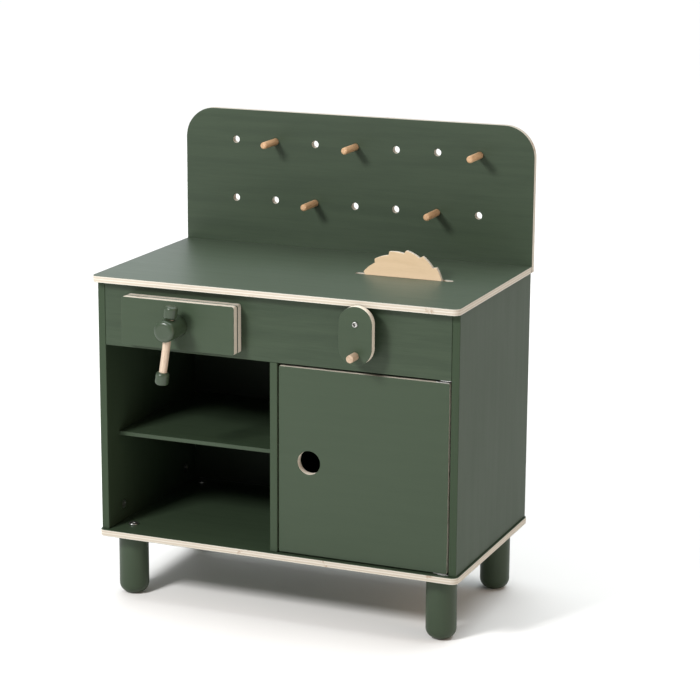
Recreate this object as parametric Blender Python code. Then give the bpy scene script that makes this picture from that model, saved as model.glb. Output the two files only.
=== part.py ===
"""Toy workbench: a plywood cabinet on four legs with a peg board, a vice and a hand-cranked saw.

The frame is +Z up with -Y towards the front. The origin is on the floor, at the centre of the
bench's footprint, which runs from the front of the vice hub to the back of the peg board.
"""

import math

import bmesh
import bpy
from mathutils import Matrix, Vector

# Clearances
FIT = 0.0003
RUNNING_FIT = 0.0005

# Cabinet
WIDTH = 0.600
WORKTOP_DEPTH = 0.3382
CARCASS_HEIGHT = 0.4006
LEG_LENGTH = 0.101
BOARD_THICKNESS = 0.0105
PANEL_THICKNESS = 0.012
BOARD_CORNER_RADIUS = 0.011
SIDE_INSET = 0.003
CARCASS_SETBACK = 0.0166
BASE_SETBACK = 0.0098
CARCASS_BACK_INSET = 0.0057
APRON_HEIGHT = 0.101
BACK_PANEL_THICKNESS = 0.004
BACK_PANEL_INSET = 0.010
GROOVE_DEPTH = 0.005
EDGE_EASE = 0.0006

# Peg board
BACKBOARD_HEIGHT = 0.230
BACKBOARD_THICKNESS = 0.0108
BACKBOARD_CORNER_RADIUS = 0.050
HOLE_COLUMNS = 7
HOLE_PITCH = 0.070
HOLE_ROW_PITCH = 0.096
TOP_ROW_FROM_EDGE = 0.0495
PEG_DIAMETER = 0.0112
PEG_REACH = 0.049
PEG_BACK_INSET = 0.0005
PEG_EDGE = 0.00336
PEG_PLACES = (("top", 2), ("top", 4), ("top", 7), ("bottom", 3), ("bottom", 6))
BOARD_SCREW_DIAMETER = 0.004
BOARD_SCREW_HEAD_DIAMETER = 0.008
BOARD_SCREW_HEAD_HEIGHT = 0.0025
BOARD_SCREW_LENGTH = 0.035
BOARD_SCREW_FROM_SIDE = 0.060
BOARD_SCREW_TIP_GAP = 0.002

# Legs
LEG_DIAMETER = 0.0472
LEG_ROUNDING = 0.016
LEG_FROM_SIDE = 0.039
LEG_FROM_EDGE = 0.0447
LEG_BOLT_DIAMETER = 0.008
LEG_BOLT_HEAD_DIAMETER = 0.016
LEG_BOLT_HEAD_HEIGHT = 0.0025
LEG_BOLT_FACE_SHARE = 0.7
LEG_BOLT_DEPTH = 0.035

# Shelf
SHELF_THICKNESS = 0.0063
SHELF_HEIGHT = 0.1447
SHELF_SETBACK = 0.038
SHELF_SIDE_GAP = 0.0006
SHELF_PIN_DIAMETER = 0.005
SHELF_PIN_LENGTH = 0.016
SHELF_PIN_DEPTH = 0.008
SHELF_PIN_FROM_EDGE = 0.030

# Cam fittings at the foot of the side panels
CAM_DIAMETER = 0.015
CAM_THICKNESS = 0.009
CAM_HEIGHT = 0.0264
CAM_FROM_EDGE = 0.052
CAM_SLOT_WIDTH = 0.001875
CAM_SLOT_LENGTH = 0.009

# Door
DOOR_GAP_SIDE = 0.003
DOOR_GAP_TOP = 0.0042
DOOR_GAP_BOTTOM = 0.0029
FINGER_HOLE_DIAMETER = 0.037
FINGER_HOLE_FROM_EDGE = 0.0495
FINGER_HOLE_HEIGHT = 0.1463
PIVOT_FROM_EDGE = 0.0075
PIVOT_DIAMETER = 0.004
PIVOT_REACH = 0.008
HINGE_PLATE_THICKNESS = 0.0008
HINGE_PLATE_DEPTH = 0.010
DOOR_PLATE_REACH = 0.022
BRACKET_REACH = 0.018
CATCH_SIZE = (0.018, 0.028, 0.013)
CATCH_FROM_TOP = 0.022
CATCH_GAP = 0.0008
STRIKE_SIDE = 0.012
STRIKE_THICKNESS = 0.0012

# Vice
VICE_PLATE_WIDTH = 0.190
VICE_PLATE_HEIGHT = 0.075
VICE_PLATE_RADIUS = 0.004
VICE_FROM_SIDE = 0.042
VICE_AXIS_OVER_APRON = 0.0483
VICE_REST_GAP = 0.0022
VICE_TRAVEL = 0.040
SPINDLE_DIAMETER = 0.018
NUT_WIDTH = 0.050
NUT_THICKNESS = 0.022
COLLAR_DIAMETER = 0.028
COLLAR_THICKNESS = 0.003
GUIDE_DIAMETER = 0.012
GUIDE_SPACING = 0.130
GUIDE_SOCKET = 0.007
GUIDE_OVERLAP = 0.012
GUIDE_EDGE = 0.0015
HUB_DIAMETER = 0.034
HUB_LENGTH = 0.0475
HUB_EDGE = 0.003
HUB_SOCKET = 0.018
BAR_FROM_FRONT = 0.019
BAR_DIAMETER = 0.012
BAR_TILT = math.radians(8.6)
BAR_TRAVEL = 0.050
CAP_DIAMETER = 0.021
CAP_LENGTH = 0.020
CAP_EDGE = 0.003
CAP_SOCKET = 0.013

# Saw drive
CRANK_FROM_SIDE = 0.1405
CRANK_AXIS_OVER_APRON = 0.0783
CRANK_PLATE_WIDTH = 0.053
CRANK_CENTRES = 0.0356
CRANK_PLATE_GAP = 0.0012
KNOB_RADIUS_OF_TURN = 0.048
KNOB_DIAMETER = 0.012
KNOB_REACH = 0.021
KNOB_SOCKET = 0.008
KNOB_EDGE = 0.001
CRANK_BOLT_DIAMETER = 0.006
CRANK_BOLT_HEAD_DIAMETER = 0.0085
CRANK_BOLT_HEAD_HEIGHT = 0.0018
CRANK_BOLT_FACE_SHARE = 0.8
CRANK_BOLT_DEPTH = 0.030
HEX_SOCKET = 0.004
HEX_SOCKET_DEPTH = 0.0012
AXLE_DIAMETER = 0.016
BUSH_WALL = 0.003
BUSH_FLANGE = 0.005
BUSH_FLANGE_THICKNESS = 0.002
BLADE_FROM_WORKTOP_FRONT = 0.184
BLADE_RADIUS = 0.0752
BLADE_ROOT_RADIUS = 0.0700
BLADE_THICKNESS = 0.007
BLADE_TEETH = 17
BLADE_TIP_ANGLE = math.radians(86.6)
TOOTH_STEEP_SHARE = 0.13
TOOTH_BOW = 0.9
SLOT_SIDE_GAP = 0.0023
SLOT_END_GAP = 0.009
SLOT_END_FLAT = 0.0002
BLADE_COLLAR_DIAMETER = 0.040
BLADE_COLLAR_THICKNESS = 0.008
BEARING_GAP = 0.004
BEARING_WIDTH = 0.060
BEARING_THICKNESS = 0.020
AXLE_OVERHANG = 0.003

# Facets
FINE = 24
MEDIUM = 16
COARSE = 12
CORNER_STEPS = 5
CRANK_END_STEPS = 10
FOOT_STEPS = 4
HEX_SIDES = 6
TOOTH_SHARES = (0.0, 0.35, 0.7, 1.0)
SMOOTH_ANGLE = math.radians(35)
EASED_ANGLE = math.radians(50)
WELD = 1e-6

# How far a cutter runs past the face that it enters or leaves
OVERRUN = 0.01

# Heights above the floor
base_low = LEG_LENGTH + FIT
base_top = base_low + BOARD_THICKNESS
carcass_low = base_top + FIT
carcass_top = carcass_low + CARCASS_HEIGHT
worktop_low = carcass_top + FIT
backboard_top = worktop_low + BACKBOARD_HEIGHT
apron_low = carcass_top - APRON_HEIGHT
vice_z = apron_low + VICE_AXIS_OVER_APRON
crank_z = apron_low + CRANK_AXIS_OVER_APRON

# Places along Y, counted first from the back of the peg board and then centred
vice_stack = FIT + PANEL_THICKNESS + VICE_REST_GAP + PANEL_THICKNESS + FIT + HUB_LENGTH
depth_to_carcass = BACKBOARD_THICKNESS + FIT + WORKTOP_DEPTH - CARCASS_SETBACK
back_y = (depth_to_carcass + vice_stack) / 2
board_front = back_y - BACKBOARD_THICKNESS
worktop_back = board_front - FIT
worktop_front = worktop_back - WORKTOP_DEPTH
base_front = worktop_front + BASE_SETBACK
carcass_front = worktop_front + CARCASS_SETBACK
carcass_back = back_y - CARCASS_BACK_INSET
groove_back = carcass_back - BACK_PANEL_INSET + FIT
groove_front = groove_back - BACK_PANEL_THICKNESS - 2 * FIT
inner_back = groove_front
apron_back = carcass_front + PANEL_THICKNESS
fixed_plate_back = carcass_front - FIT
fixed_plate_front = fixed_plate_back - PANEL_THICKNESS
jaw_back = fixed_plate_front - VICE_REST_GAP
jaw_front = jaw_back - PANEL_THICKNESS
hub_back = jaw_front - FIT
hub_front = hub_back - HUB_LENGTH
bar_y = hub_front + BAR_FROM_FRONT
crank_plate_back = worktop_front - CRANK_PLATE_GAP
crank_plate_front = crank_plate_back - PANEL_THICKNESS
blade_y = worktop_front + BLADE_FROM_WORKTOP_FRONT
bearing_front = blade_y + BLADE_THICKNESS / 2 + FIT + BLADE_COLLAR_THICKNESS + BEARING_GAP
axle_back = bearing_front + BEARING_THICKNESS + AXLE_OVERHANG

# Places along X
side_outer = WIDTH / 2 - SIDE_INSET
side_inner = side_outer - PANEL_THICKNESS
divider_half = PANEL_THICKNESS / 2
vice_x = -side_inner + VICE_FROM_SIDE + VICE_PLATE_WIDTH / 2
crank_x = side_inner - CRANK_FROM_SIDE
door_left = divider_half + DOOR_GAP_SIDE
door_right = side_inner - DOOR_GAP_SIDE
door_low = base_top + DOOR_GAP_BOTTOM
door_high = apron_low - DOOR_GAP_TOP
pivot_x = door_right - PIVOT_FROM_EDGE
pivot_y = carcass_front + PANEL_THICKNESS / 2

# Colours, each followed by the surface's roughness
green_paint = (0.072, 0.102, 0.068)
paint_roughness = 0.45
bare_ply = (0.76, 0.66, 0.50)
ply_roughness = 0.6
pale_wood = (0.74, 0.55, 0.40)
dowel_roughness = 0.55
bright_steel = (0.72, 0.72, 0.70)
steel_roughness = 0.3
grey_plastic = (0.55, 0.55, 0.53)
plastic_roughness = 0.4


def clear_scene():
    for obj in list(bpy.data.objects):
        bpy.data.objects.remove(obj, do_unlink=True)


def make_material(name, colour, roughness, metallic=0.0):
    material = bpy.data.materials.new(name)
    material.use_nodes = True
    shader = material.node_tree.nodes["Principled BSDF"]
    shader.inputs["Base Color"].default_value = (*colour, 1.0)
    shader.inputs["Roughness"].default_value = roughness
    shader.inputs["Metallic"].default_value = metallic
    return material


def painted(name):
    return make_material(name + "_paint", green_paint, paint_roughness)


def birch(name):
    return make_material(name + "_birch", bare_ply, ply_roughness)


def dowel_wood(name):
    return make_material(name + "_beech", pale_wood, dowel_roughness)


def steel(name):
    return make_material(name + "_steel", bright_steel, steel_roughness, 1.0)


def plastic(name):
    return make_material(name + "_plastic", grey_plastic, plastic_roughness)


def pivot_empty(name, place):
    """An empty on a joint's axis, which carries the pieces that move with it."""
    empty = bpy.data.objects.new(name, None)
    empty.location = place
    bpy.context.collection.objects.link(empty)
    return empty


def finish_mesh(bm, name):
    mesh = bpy.data.meshes.new(name)
    bmesh.ops.remove_doubles(bm, verts=bm.verts, dist=WELD)
    bmesh.ops.recalc_face_normals(bm, faces=bm.faces)
    bm.to_mesh(mesh)
    bm.free()
    return mesh


def add_piece(name, mesh, place, material=None, parent=None):
    """Put a mesh in the scene at a world place, under its joint's empty where it has one."""
    piece = bpy.data.objects.new(name, mesh)
    bpy.context.collection.objects.link(piece)
    if parent is None:
        piece.location = place
    else:
        piece.parent = parent
        piece.location = Vector(place) - parent.location
    if material is not None:
        mesh.materials.append(material)
    return piece


def smooth_round(piece):
    piece.data.shade_smooth()
    piece.data.set_sharp_from_angle(angle=SMOOTH_ANGLE)


# Directions that an outline's thickness can run along, as turns of its flat mesh
LYING = Matrix.Identity(3)
FACING_FRONT = Matrix(((1, 0, 0), (0, 0, 1), (0, 1, 0)))
FACING_SIDE = Matrix(((0, 0, 1), (1, 0, 0), (0, 1, 0)))


def slab_mesh(name, outline, thickness, facing):
    """An outline extruded from 0 to the thickness. LYING: x, y and up +Z; FACING_FRONT: x, z and
    back +Y; FACING_SIDE: y, z and across +X."""
    bm = bmesh.new()
    low = [bm.verts.new(facing @ Vector((u, v, 0.0))) for u, v in outline]
    high = [bm.verts.new(facing @ Vector((u, v, thickness))) for u, v in outline]
    bm.faces.new(low)
    bm.faces.new(high)
    for index in range(len(outline)):
        after = (index + 1) % len(outline)
        bm.faces.new((low[index], low[after], high[after], high[index]))
    return finish_mesh(bm, name)


def rectangle(width, height, radii=(0.0, 0.0, 0.0, 0.0)):
    """A rectangle centred on 0, with its own radius at each corner: low left, low right, high
    right and high left."""
    half_width = width / 2
    half_height = height / 2
    corners = ((-1, -1), (1, -1), (1, 1), (-1, 1))
    points = []
    for quarter, ((side, end), radius) in enumerate(zip(corners, radii)):
        if radius == 0.0:
            points.append((side * half_width, end * half_height))
            continue
        centre_u = side * (half_width - radius)
        centre_v = end * (half_height - radius)
        start = math.pi + quarter * math.pi / 2
        for step in range(CORNER_STEPS + 1):
            angle = start + step / CORNER_STEPS * math.pi / 2
            points.append((centre_u + radius * math.cos(angle), centre_v + radius * math.sin(angle)))
    return points


def box_between(name, low, high, material=None, parent=None):
    """A box between two corners, with its origin at its centre."""
    size = Vector(high) - Vector(low)
    bm = bmesh.new()
    bmesh.ops.create_cube(bm, size=1.0, matrix=Matrix.Diagonal((*size, 1.0)))
    mesh = finish_mesh(bm, name)
    return add_piece(name, mesh, (Vector(low) + Vector(high)) / 2, material, parent)


# Directions that a turned piece's axis can point
AXIS_X = Matrix(((0, 0, 1), (0, 1, 0), (-1, 0, 0)))
AXIS_Y = Matrix(((1, 0, 0), (0, 0, 1), (0, -1, 0)))
AXIS_Z = Matrix.Identity(3)


def turned_mesh(name, profile, sides, turn=AXIS_Z):
    """A profile of (radius, place along the axis) turned about its axis. A radius of 0 is a pole;
    a profile with no pole closes on itself as a ring."""
    bm = bmesh.new()
    rings = []
    for radius, along in profile:
        if radius == 0.0:
            rings.append([bm.verts.new(turn @ Vector((0.0, 0.0, along)))])
            continue
        ring = []
        for index in range(sides):
            angle = 2 * math.pi * index / sides
            point = Vector((radius * math.cos(angle), radius * math.sin(angle), along))
            ring.append(bm.verts.new(turn @ point))
        rings.append(ring)
    pairs = list(zip(rings, rings[1:]))
    if len(rings[0]) > 1:
        pairs.append((rings[-1], rings[0]))
    for first, second in pairs:
        for index in range(sides):
            after = (index + 1) % sides
            if len(first) == 1:
                bm.faces.new((first[0], second[index], second[after]))
            elif len(second) == 1:
                bm.faces.new((first[index], first[after], second[0]))
            else:
                bm.faces.new((first[index], first[after], second[after], second[index]))
    return finish_mesh(bm, name)


def rod_profile(diameter, start, end):
    return [(0.0, start), (diameter / 2, start), (diameter / 2, end), (0.0, end)]


def ring_profile(outer, inner, start, end):
    return [(inner / 2, start), (outer / 2, start), (outer / 2, end), (inner / 2, end)]


def rounded_rod_profile(diameter, start, end, edge, steps=2):
    """A rod whose two rims are rounded with the radius of its edge."""
    radius = diameter / 2
    profile = [(0.0, start)]
    for step in range(steps + 1):
        angle = step / steps * math.pi / 2
        reach = radius - edge + edge * math.sin(angle)
        profile.append((reach, start + edge - edge * math.cos(angle)))
    for step in range(steps + 1):
        angle = step / steps * math.pi / 2
        reach = radius - edge + edge * math.cos(angle)
        profile.append((reach, end - edge + edge * math.sin(angle)))
    profile.append((0.0, end))
    return [point for index, point in enumerate(profile) if index == 0 or point != profile[index - 1]]


def cut_with(piece, name, mesh, place):
    """Cut a piece with a hidden mesh placed in the world."""
    cutter = add_piece(name, mesh, place)
    cutter.hide_render = True
    cutter.display_type = "WIRE"
    modifier = piece.modifiers.new(name, "BOOLEAN")
    modifier.operation = "DIFFERENCE"
    modifier.solver = "EXACT"
    modifier.object = cutter


def drill(piece, name, places, diameter, start, end, turn, sides=MEDIUM):
    """Bore round holes through a piece at world places, from start to end along the turn's axis."""
    bm = bmesh.new()
    for place in places:
        part = bmesh.new()
        mesh = turned_mesh("bit", rod_profile(diameter, start, end), sides, turn)
        part.from_mesh(mesh)
        bmesh.ops.translate(part, verts=part.verts, vec=Vector(place))
        joined = bpy.data.meshes.new("bit")
        part.to_mesh(joined)
        part.free()
        bm.from_mesh(joined)
        bpy.data.meshes.remove(mesh)
        bpy.data.meshes.remove(joined)
    mesh = bpy.data.meshes.new(name)
    bm.to_mesh(mesh)
    bm.free()
    cut_with(piece, name, mesh, (0.0, 0.0, 0.0))


def join_with(piece, name, mesh, place):
    """Unite a piece with a hidden mesh placed in the world, as one solid."""
    helper = add_piece(name, mesh, place)
    helper.hide_render = True
    helper.display_type = "WIRE"
    modifier = piece.modifiers.new(name, "BOOLEAN")
    modifier.operation = "UNION"
    modifier.solver = "EXACT"
    modifier.object = helper


def ease_edges(piece, width=EDGE_EASE):
    """Take the sharpness off a board's long edges."""
    modifier = piece.modifiers.new("eased_edges", "BEVEL")
    modifier.width = width
    modifier.segments = 1
    modifier.limit_method = "ANGLE"
    modifier.angle_limit = EASED_ANGLE


def hole_place(row, column):
    """The centre of a peg hole, on the front face of the peg board."""
    x = (column - (HOLE_COLUMNS + 1) / 2) * HOLE_PITCH
    z = backboard_top - TOP_ROW_FROM_EDGE
    if row == "bottom":
        z -= HOLE_ROW_PITCH
    return Vector((x, board_front, z))


def leg_places():
    front = base_front + LEG_FROM_EDGE
    back = back_y - LEG_FROM_EDGE
    reach = WIDTH / 2 - LEG_FROM_SIDE
    return {
        "front_left": Vector((-reach, front, 0.0)),
        "front_right": Vector((reach, front, 0.0)),
        "back_left": Vector((-reach, back, 0.0)),
        "back_right": Vector((reach, back, 0.0)),
    }


def board_screw_places():
    reach = WIDTH / 2 - BOARD_SCREW_FROM_SIDE
    z = worktop_low + BOARD_THICKNESS / 2
    return {
        "left": Vector((-reach, back_y, z)),
        "middle": Vector((0.0, back_y, z)),
        "right": Vector((reach, back_y, z)),
    }


def shelf_pin_places():
    z = carcass_low + SHELF_HEIGHT - FIT - SHELF_PIN_DIAMETER / 2
    front = carcass_front + SHELF_SETBACK + SHELF_PIN_FROM_EDGE
    back = inner_back - SHELF_PIN_FROM_EDGE
    return {
        "front_left": Vector((-side_inner, front, z)),
        "back_left": Vector((-side_inner, back, z)),
        "front_right": Vector((-divider_half, front, z)),
        "back_right": Vector((-divider_half, back, z)),
    }


def cam_places():
    front = carcass_front + CAM_FROM_EDGE
    back = carcass_back - CAM_FROM_EDGE
    z = carcass_low + CAM_HEIGHT
    return {
        "front_left": Vector((-side_inner, front, z)),
        "back_left": Vector((-side_inner, back, z)),
        "front_right": Vector((side_inner, front, z)),
        "back_right": Vector((side_inner, back, z)),
    }


def guide_places():
    return {
        "left": Vector((vice_x - GUIDE_SPACING / 2, 0.0, vice_z)),
        "right": Vector((vice_x + GUIDE_SPACING / 2, 0.0, vice_z)),
    }


def blade_outline():
    """The saw's teeth, with steep faces that bite when the crank turns towards the left."""
    points = []
    pitch = 2 * math.pi / BLADE_TEETH
    steep = pitch * TOOTH_STEEP_SHARE
    height = BLADE_RADIUS - BLADE_ROOT_RADIUS
    for tooth in range(BLADE_TEETH):
        tip = BLADE_TIP_ANGLE + tooth * pitch
        valley = tip - pitch + steep
        for share in TOOTH_SHARES:
            angle = valley + share * (tip - valley)
            radius = BLADE_ROOT_RADIUS + height * share**TOOTH_BOW
            points.append((radius * math.cos(angle), radius * math.sin(angle)))
    return points


def chord_half_width(distance):
    return math.sqrt(max(BLADE_RADIUS**2 - distance**2, 0.0))


def make_worktop():
    radii = (BOARD_CORNER_RADIUS, BOARD_CORNER_RADIUS, 0.0, 0.0)
    outline = rectangle(WIDTH, WORKTOP_DEPTH, radii)
    mesh = slab_mesh("worktop", outline, BOARD_THICKNESS, LYING)
    place = (0.0, (worktop_front + worktop_back) / 2, worktop_low)
    piece = add_piece("worktop", mesh, place, painted("worktop"))
    ease_edges(piece)
    width = 2 * (chord_half_width(worktop_low - crank_z) + SLOT_END_GAP)
    depth = BLADE_THICKNESS + 2 * SLOT_SIDE_GAP
    slot = rectangle(width, depth, ((depth - SLOT_END_FLAT) / 2,) * 4)
    cutter = slab_mesh("saw_slot", slot, BOARD_THICKNESS + 2 * OVERRUN, LYING)
    cut_with(piece, "saw_slot", cutter, (crank_x, blade_y, worktop_low - OVERRUN))
    drill(
        piece,
        "board_screw_holes",
        board_screw_places().values(),
        BOARD_SCREW_DIAMETER + 2 * FIT,
        -BOARD_SCREW_LENGTH - BOARD_SCREW_TIP_GAP,
        OVERRUN,
        AXIS_Y,
        COARSE,
    )


def make_base_panel():
    depth = back_y - base_front
    outline = rectangle(WIDTH, depth, (BOARD_CORNER_RADIUS,) * 4)
    mesh = slab_mesh("base_panel", outline, BOARD_THICKNESS, LYING)
    place = (0.0, (base_front + back_y) / 2, base_low)
    piece = add_piece("base_panel", mesh, place, painted("base_panel"))
    ease_edges(piece)
    places = [place + Vector((0.0, 0.0, base_low)) for place in leg_places().values()]
    bore = LEG_BOLT_DIAMETER + 2 * FIT
    drill(piece, "leg_bolt_holes", places, bore, -OVERRUN, BOARD_THICKNESS + OVERRUN, AXIS_Z, COARSE)


def make_backboard():
    radii = (0.0, 0.0, BACKBOARD_CORNER_RADIUS, BACKBOARD_CORNER_RADIUS)
    outline = rectangle(WIDTH, BACKBOARD_HEIGHT, radii)
    mesh = slab_mesh("backboard", outline, BACKBOARD_THICKNESS, FACING_FRONT)
    place = (0.0, board_front, worktop_low + BACKBOARD_HEIGHT / 2)
    piece = add_piece("backboard", mesh, place, painted("backboard"))
    ease_edges(piece)
    columns = range(1, HOLE_COLUMNS + 1)
    places = [hole_place(row, column) for row in ("top", "bottom") for column in columns]
    bore = PEG_DIAMETER + 2 * FIT
    drill(piece, "peg_holes", places, bore, -OVERRUN, BACKBOARD_THICKNESS + OVERRUN, AXIS_Y)
    screws = list(board_screw_places().values())
    bore = BOARD_SCREW_DIAMETER + 2 * FIT
    start = -BACKBOARD_THICKNESS - OVERRUN
    drill(piece, "screw_holes", screws, bore, start, OVERRUN, AXIS_Y, COARSE)
    head = BOARD_SCREW_HEAD_DIAMETER + 2 * FIT
    depth = BOARD_SCREW_HEAD_HEIGHT + FIT
    drill(piece, "screw_heads", screws, head, -depth, OVERRUN, AXIS_Y, COARSE)


def make_side_panel(name, side):
    """One upright side, with a groove for the back panel and bores for cams and shelf pins."""
    depth = carcass_back - carcass_front
    outline = rectangle(depth, CARCASS_HEIGHT)
    mesh = slab_mesh(name, outline, PANEL_THICKNESS, FACING_SIDE)
    low_x = side_inner if side > 0 else -side_outer
    place = (low_x, (carcass_front + carcass_back) / 2, carcass_low + CARCASS_HEIGHT / 2)
    piece = add_piece(name, mesh, place, painted(name))
    ease_edges(piece)
    groove = rectangle(groove_back - groove_front, CARCASS_HEIGHT + 2 * OVERRUN)
    cutter = slab_mesh(name + "_groove", groove, 2 * GROOVE_DEPTH, FACING_SIDE)
    groove_x = side * side_inner - GROOVE_DEPTH
    groove_y = (groove_front + groove_back) / 2
    middle_z = carcass_low + CARCASS_HEIGHT / 2
    cut_with(piece, name + "_groove", cutter, (groove_x, groove_y, middle_z))
    cams = [place for place in cam_places().values() if place.x * side > 0]
    bore = CAM_DIAMETER + 2 * FIT
    depth = CAM_THICKNESS + 2 * FIT
    drill(piece, name + "_cam_bores", cams, bore, *span_into(side, depth), AXIS_X)
    if side < 0:
        pins = [place for place in shelf_pin_places().values() if place.x < -divider_half - FIT]
        bore = SHELF_PIN_DIAMETER + 2 * FIT
        depth = SHELF_PIN_DEPTH + FIT
        drill(piece, name + "_pin_bores", pins, bore, *span_into(side, depth), AXIS_X, COARSE)


def span_into(side, depth):
    """The stretch along X that a bit runs, from just outside a face into its panel."""
    return (-OVERRUN, depth) if side > 0 else (-depth, OVERRUN)


def make_divider():
    """The upright between the two bays, notched at its front top corner for the apron."""
    front = carcass_front
    back = inner_back
    notch_y = apron_back + FIT
    notch_z = apron_low - FIT
    outline = [
        (front, carcass_low),
        (back, carcass_low),
        (back, carcass_top),
        (notch_y, carcass_top),
        (notch_y, notch_z),
        (front, notch_z),
    ]
    mesh = slab_mesh("centre_divider", outline, PANEL_THICKNESS, FACING_SIDE)
    place = (-divider_half, 0.0, 0.0)
    piece = add_piece("centre_divider", mesh, place, painted("centre_divider"))
    ease_edges(piece)
    pins = [place for place in shelf_pin_places().values() if place.x >= -divider_half - FIT]
    bore = SHELF_PIN_DIAMETER + 2 * FIT
    depth = SHELF_PIN_DEPTH + FIT
    drill(piece, "divider_pin_bores", pins, bore, *span_into(1, depth), AXIS_X, COARSE)


def make_back_panel():
    reach = side_inner + GROOVE_DEPTH - FIT
    low = (-reach, groove_front + FIT, carcass_low)
    high = (reach, groove_back - FIT, carcass_top)
    box_between("back_panel", low, high, painted("back_panel"))


def make_apron():
    """The front rail under the worktop, bored for the vice's spindle and guides and the axle."""
    width = 2 * (side_inner - FIT)
    mesh = slab_mesh("apron", rectangle(width, APRON_HEIGHT), PANEL_THICKNESS, FACING_FRONT)
    place = (0.0, carcass_front, apron_low + APRON_HEIGHT / 2)
    piece = add_piece("apron", mesh, place, painted("apron"))
    ease_edges(piece)
    bore_for_vice(piece, "apron", carcass_front)
    axle = Vector((crank_x, carcass_front, crank_z))
    bush = AXLE_DIAMETER + 2 * RUNNING_FIT + 2 * BUSH_WALL + 2 * FIT
    drill(piece, "apron_bush_bore", [axle], bush, -OVERRUN, PANEL_THICKNESS + OVERRUN, AXIS_Y)


def bore_for_vice(piece, name, front):
    """Bores that the vice's spindle and its guides slide through, in a board facing the front."""
    end = PANEL_THICKNESS + OVERRUN
    spindle = Vector((vice_x, front, vice_z))
    bore = SPINDLE_DIAMETER + 2 * RUNNING_FIT
    drill(piece, name + "_spindle_bore", [spindle], bore, -OVERRUN, end, AXIS_Y)
    guides = [Vector((place.x, front, place.z)) for place in guide_places().values()]
    bore = GUIDE_DIAMETER + 2 * RUNNING_FIT
    drill(piece, name + "_guide_bores", guides, bore, -OVERRUN, end, AXIS_Y)


def make_shelf():
    left = -side_inner + SHELF_SIDE_GAP
    right = -divider_half - SHELF_SIDE_GAP
    front = carcass_front + SHELF_SETBACK
    back = inner_back - SHELF_SIDE_GAP
    low_z = carcass_low + SHELF_HEIGHT
    low = (left, front, low_z)
    high = (right, back, low_z + SHELF_THICKNESS)
    ease_edges(box_between("shelf", low, high, painted("shelf")), EDGE_EASE / 2)
    for name, place in shelf_pin_places().items():
        inward = 1 if place.x < -divider_half - FIT else -1
        start = -SHELF_PIN_DEPTH * inward
        end = (SHELF_PIN_LENGTH - SHELF_PIN_DEPTH) * inward
        profile = rod_profile(SHELF_PIN_DIAMETER, min(start, end), max(start, end))
        mesh = turned_mesh("shelf_pin", profile, COARSE, AXIS_X)
        pin_name = "shelf_pin_" + name
        smooth_round(add_piece(pin_name, mesh, place, steel(pin_name)))


def make_cams():
    """Round cam nuts, flush with the inner faces of the sides, each with a driver slot."""
    for name, place in cam_places().items():
        side = 1 if place.x > 0 else -1
        start = FIT * side
        end = (CAM_THICKNESS + FIT) * side
        profile = rod_profile(CAM_DIAMETER, min(start, end), max(start, end))
        mesh = turned_mesh("cam_nut", profile, MEDIUM, AXIS_X)
        cam_name = "cam_nut_" + name
        piece = add_piece(cam_name, mesh, place, steel(cam_name))
        smooth_round(piece)
        slot = rectangle(CAM_SLOT_WIDTH, CAM_SLOT_LENGTH)
        cutter = slab_mesh(cam_name + "_slot", slot, CAM_THICKNESS / 2, FACING_SIDE)
        cut_x = place.x + start - CAM_THICKNESS / 4
        cut_with(piece, cam_name + "_slot", cutter, (cut_x, place.y, place.z))


def make_legs():
    """Four round legs with rounded feet, each held by a bolt through the base."""
    radius = LEG_DIAMETER / 2
    profile = [(0.0, 0.0)]
    for step in range(FOOT_STEPS + 1):
        angle = step / FOOT_STEPS * math.pi / 2
        reach = radius - LEG_ROUNDING + LEG_ROUNDING * math.sin(angle)
        profile.append((reach, LEG_ROUNDING - LEG_ROUNDING * math.cos(angle)))
    profile += [(radius, LEG_LENGTH), (0.0, LEG_LENGTH)]
    bolt_length = FIT + BOARD_THICKNESS + FIT + LEG_BOLT_DEPTH
    for name, place in leg_places().items():
        leg_name = "leg_" + name
        leg = add_piece(leg_name, turned_mesh("leg", profile, FINE), place, painted(leg_name))
        smooth_round(leg)
        top = place + Vector((0.0, 0.0, LEG_LENGTH))
        bore = LEG_BOLT_DIAMETER + 2 * FIT
        depth = LEG_BOLT_DEPTH + FIT
        drill(leg, leg_name + "_bore", [top], bore, -depth, OVERRUN, AXIS_Z, COARSE)
        head_low = base_top + FIT
        head = LEG_BOLT_HEAD_DIAMETER / 2
        shank = LEG_BOLT_DIAMETER / 2
        bolt = [
            (0.0, -bolt_length + FIT),
            (shank, -bolt_length + FIT),
            (shank, 0.0),
            (head, 0.0),
            (head, LEG_BOLT_HEAD_HEIGHT / 2),
            (head * LEG_BOLT_FACE_SHARE, LEG_BOLT_HEAD_HEIGHT),
            (0.0, LEG_BOLT_HEAD_HEIGHT),
        ]
        bolt_name = "leg_bolt_" + name
        mesh = turned_mesh("leg_bolt", bolt, COARSE)
        bolt_place = Vector((place.x, place.y, head_low))
        piece = add_piece(bolt_name, mesh, bolt_place, steel(bolt_name))
        smooth_round(piece)


def make_board_screws():
    head = BOARD_SCREW_HEAD_DIAMETER / 2
    shank = BOARD_SCREW_DIAMETER / 2
    profile = [
        (0.0, -BOARD_SCREW_LENGTH),
        (shank, -BOARD_SCREW_LENGTH),
        (shank, -BOARD_SCREW_HEAD_HEIGHT),
        (head, -BOARD_SCREW_HEAD_HEIGHT),
        (head, -FIT),
        (0.0, -FIT),
    ]
    for name, place in board_screw_places().items():
        screw_name = "backboard_screw_" + name
        mesh = turned_mesh("backboard_screw", profile, COARSE, AXIS_Y)
        smooth_round(add_piece(screw_name, mesh, place, steel(screw_name)))


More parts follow.
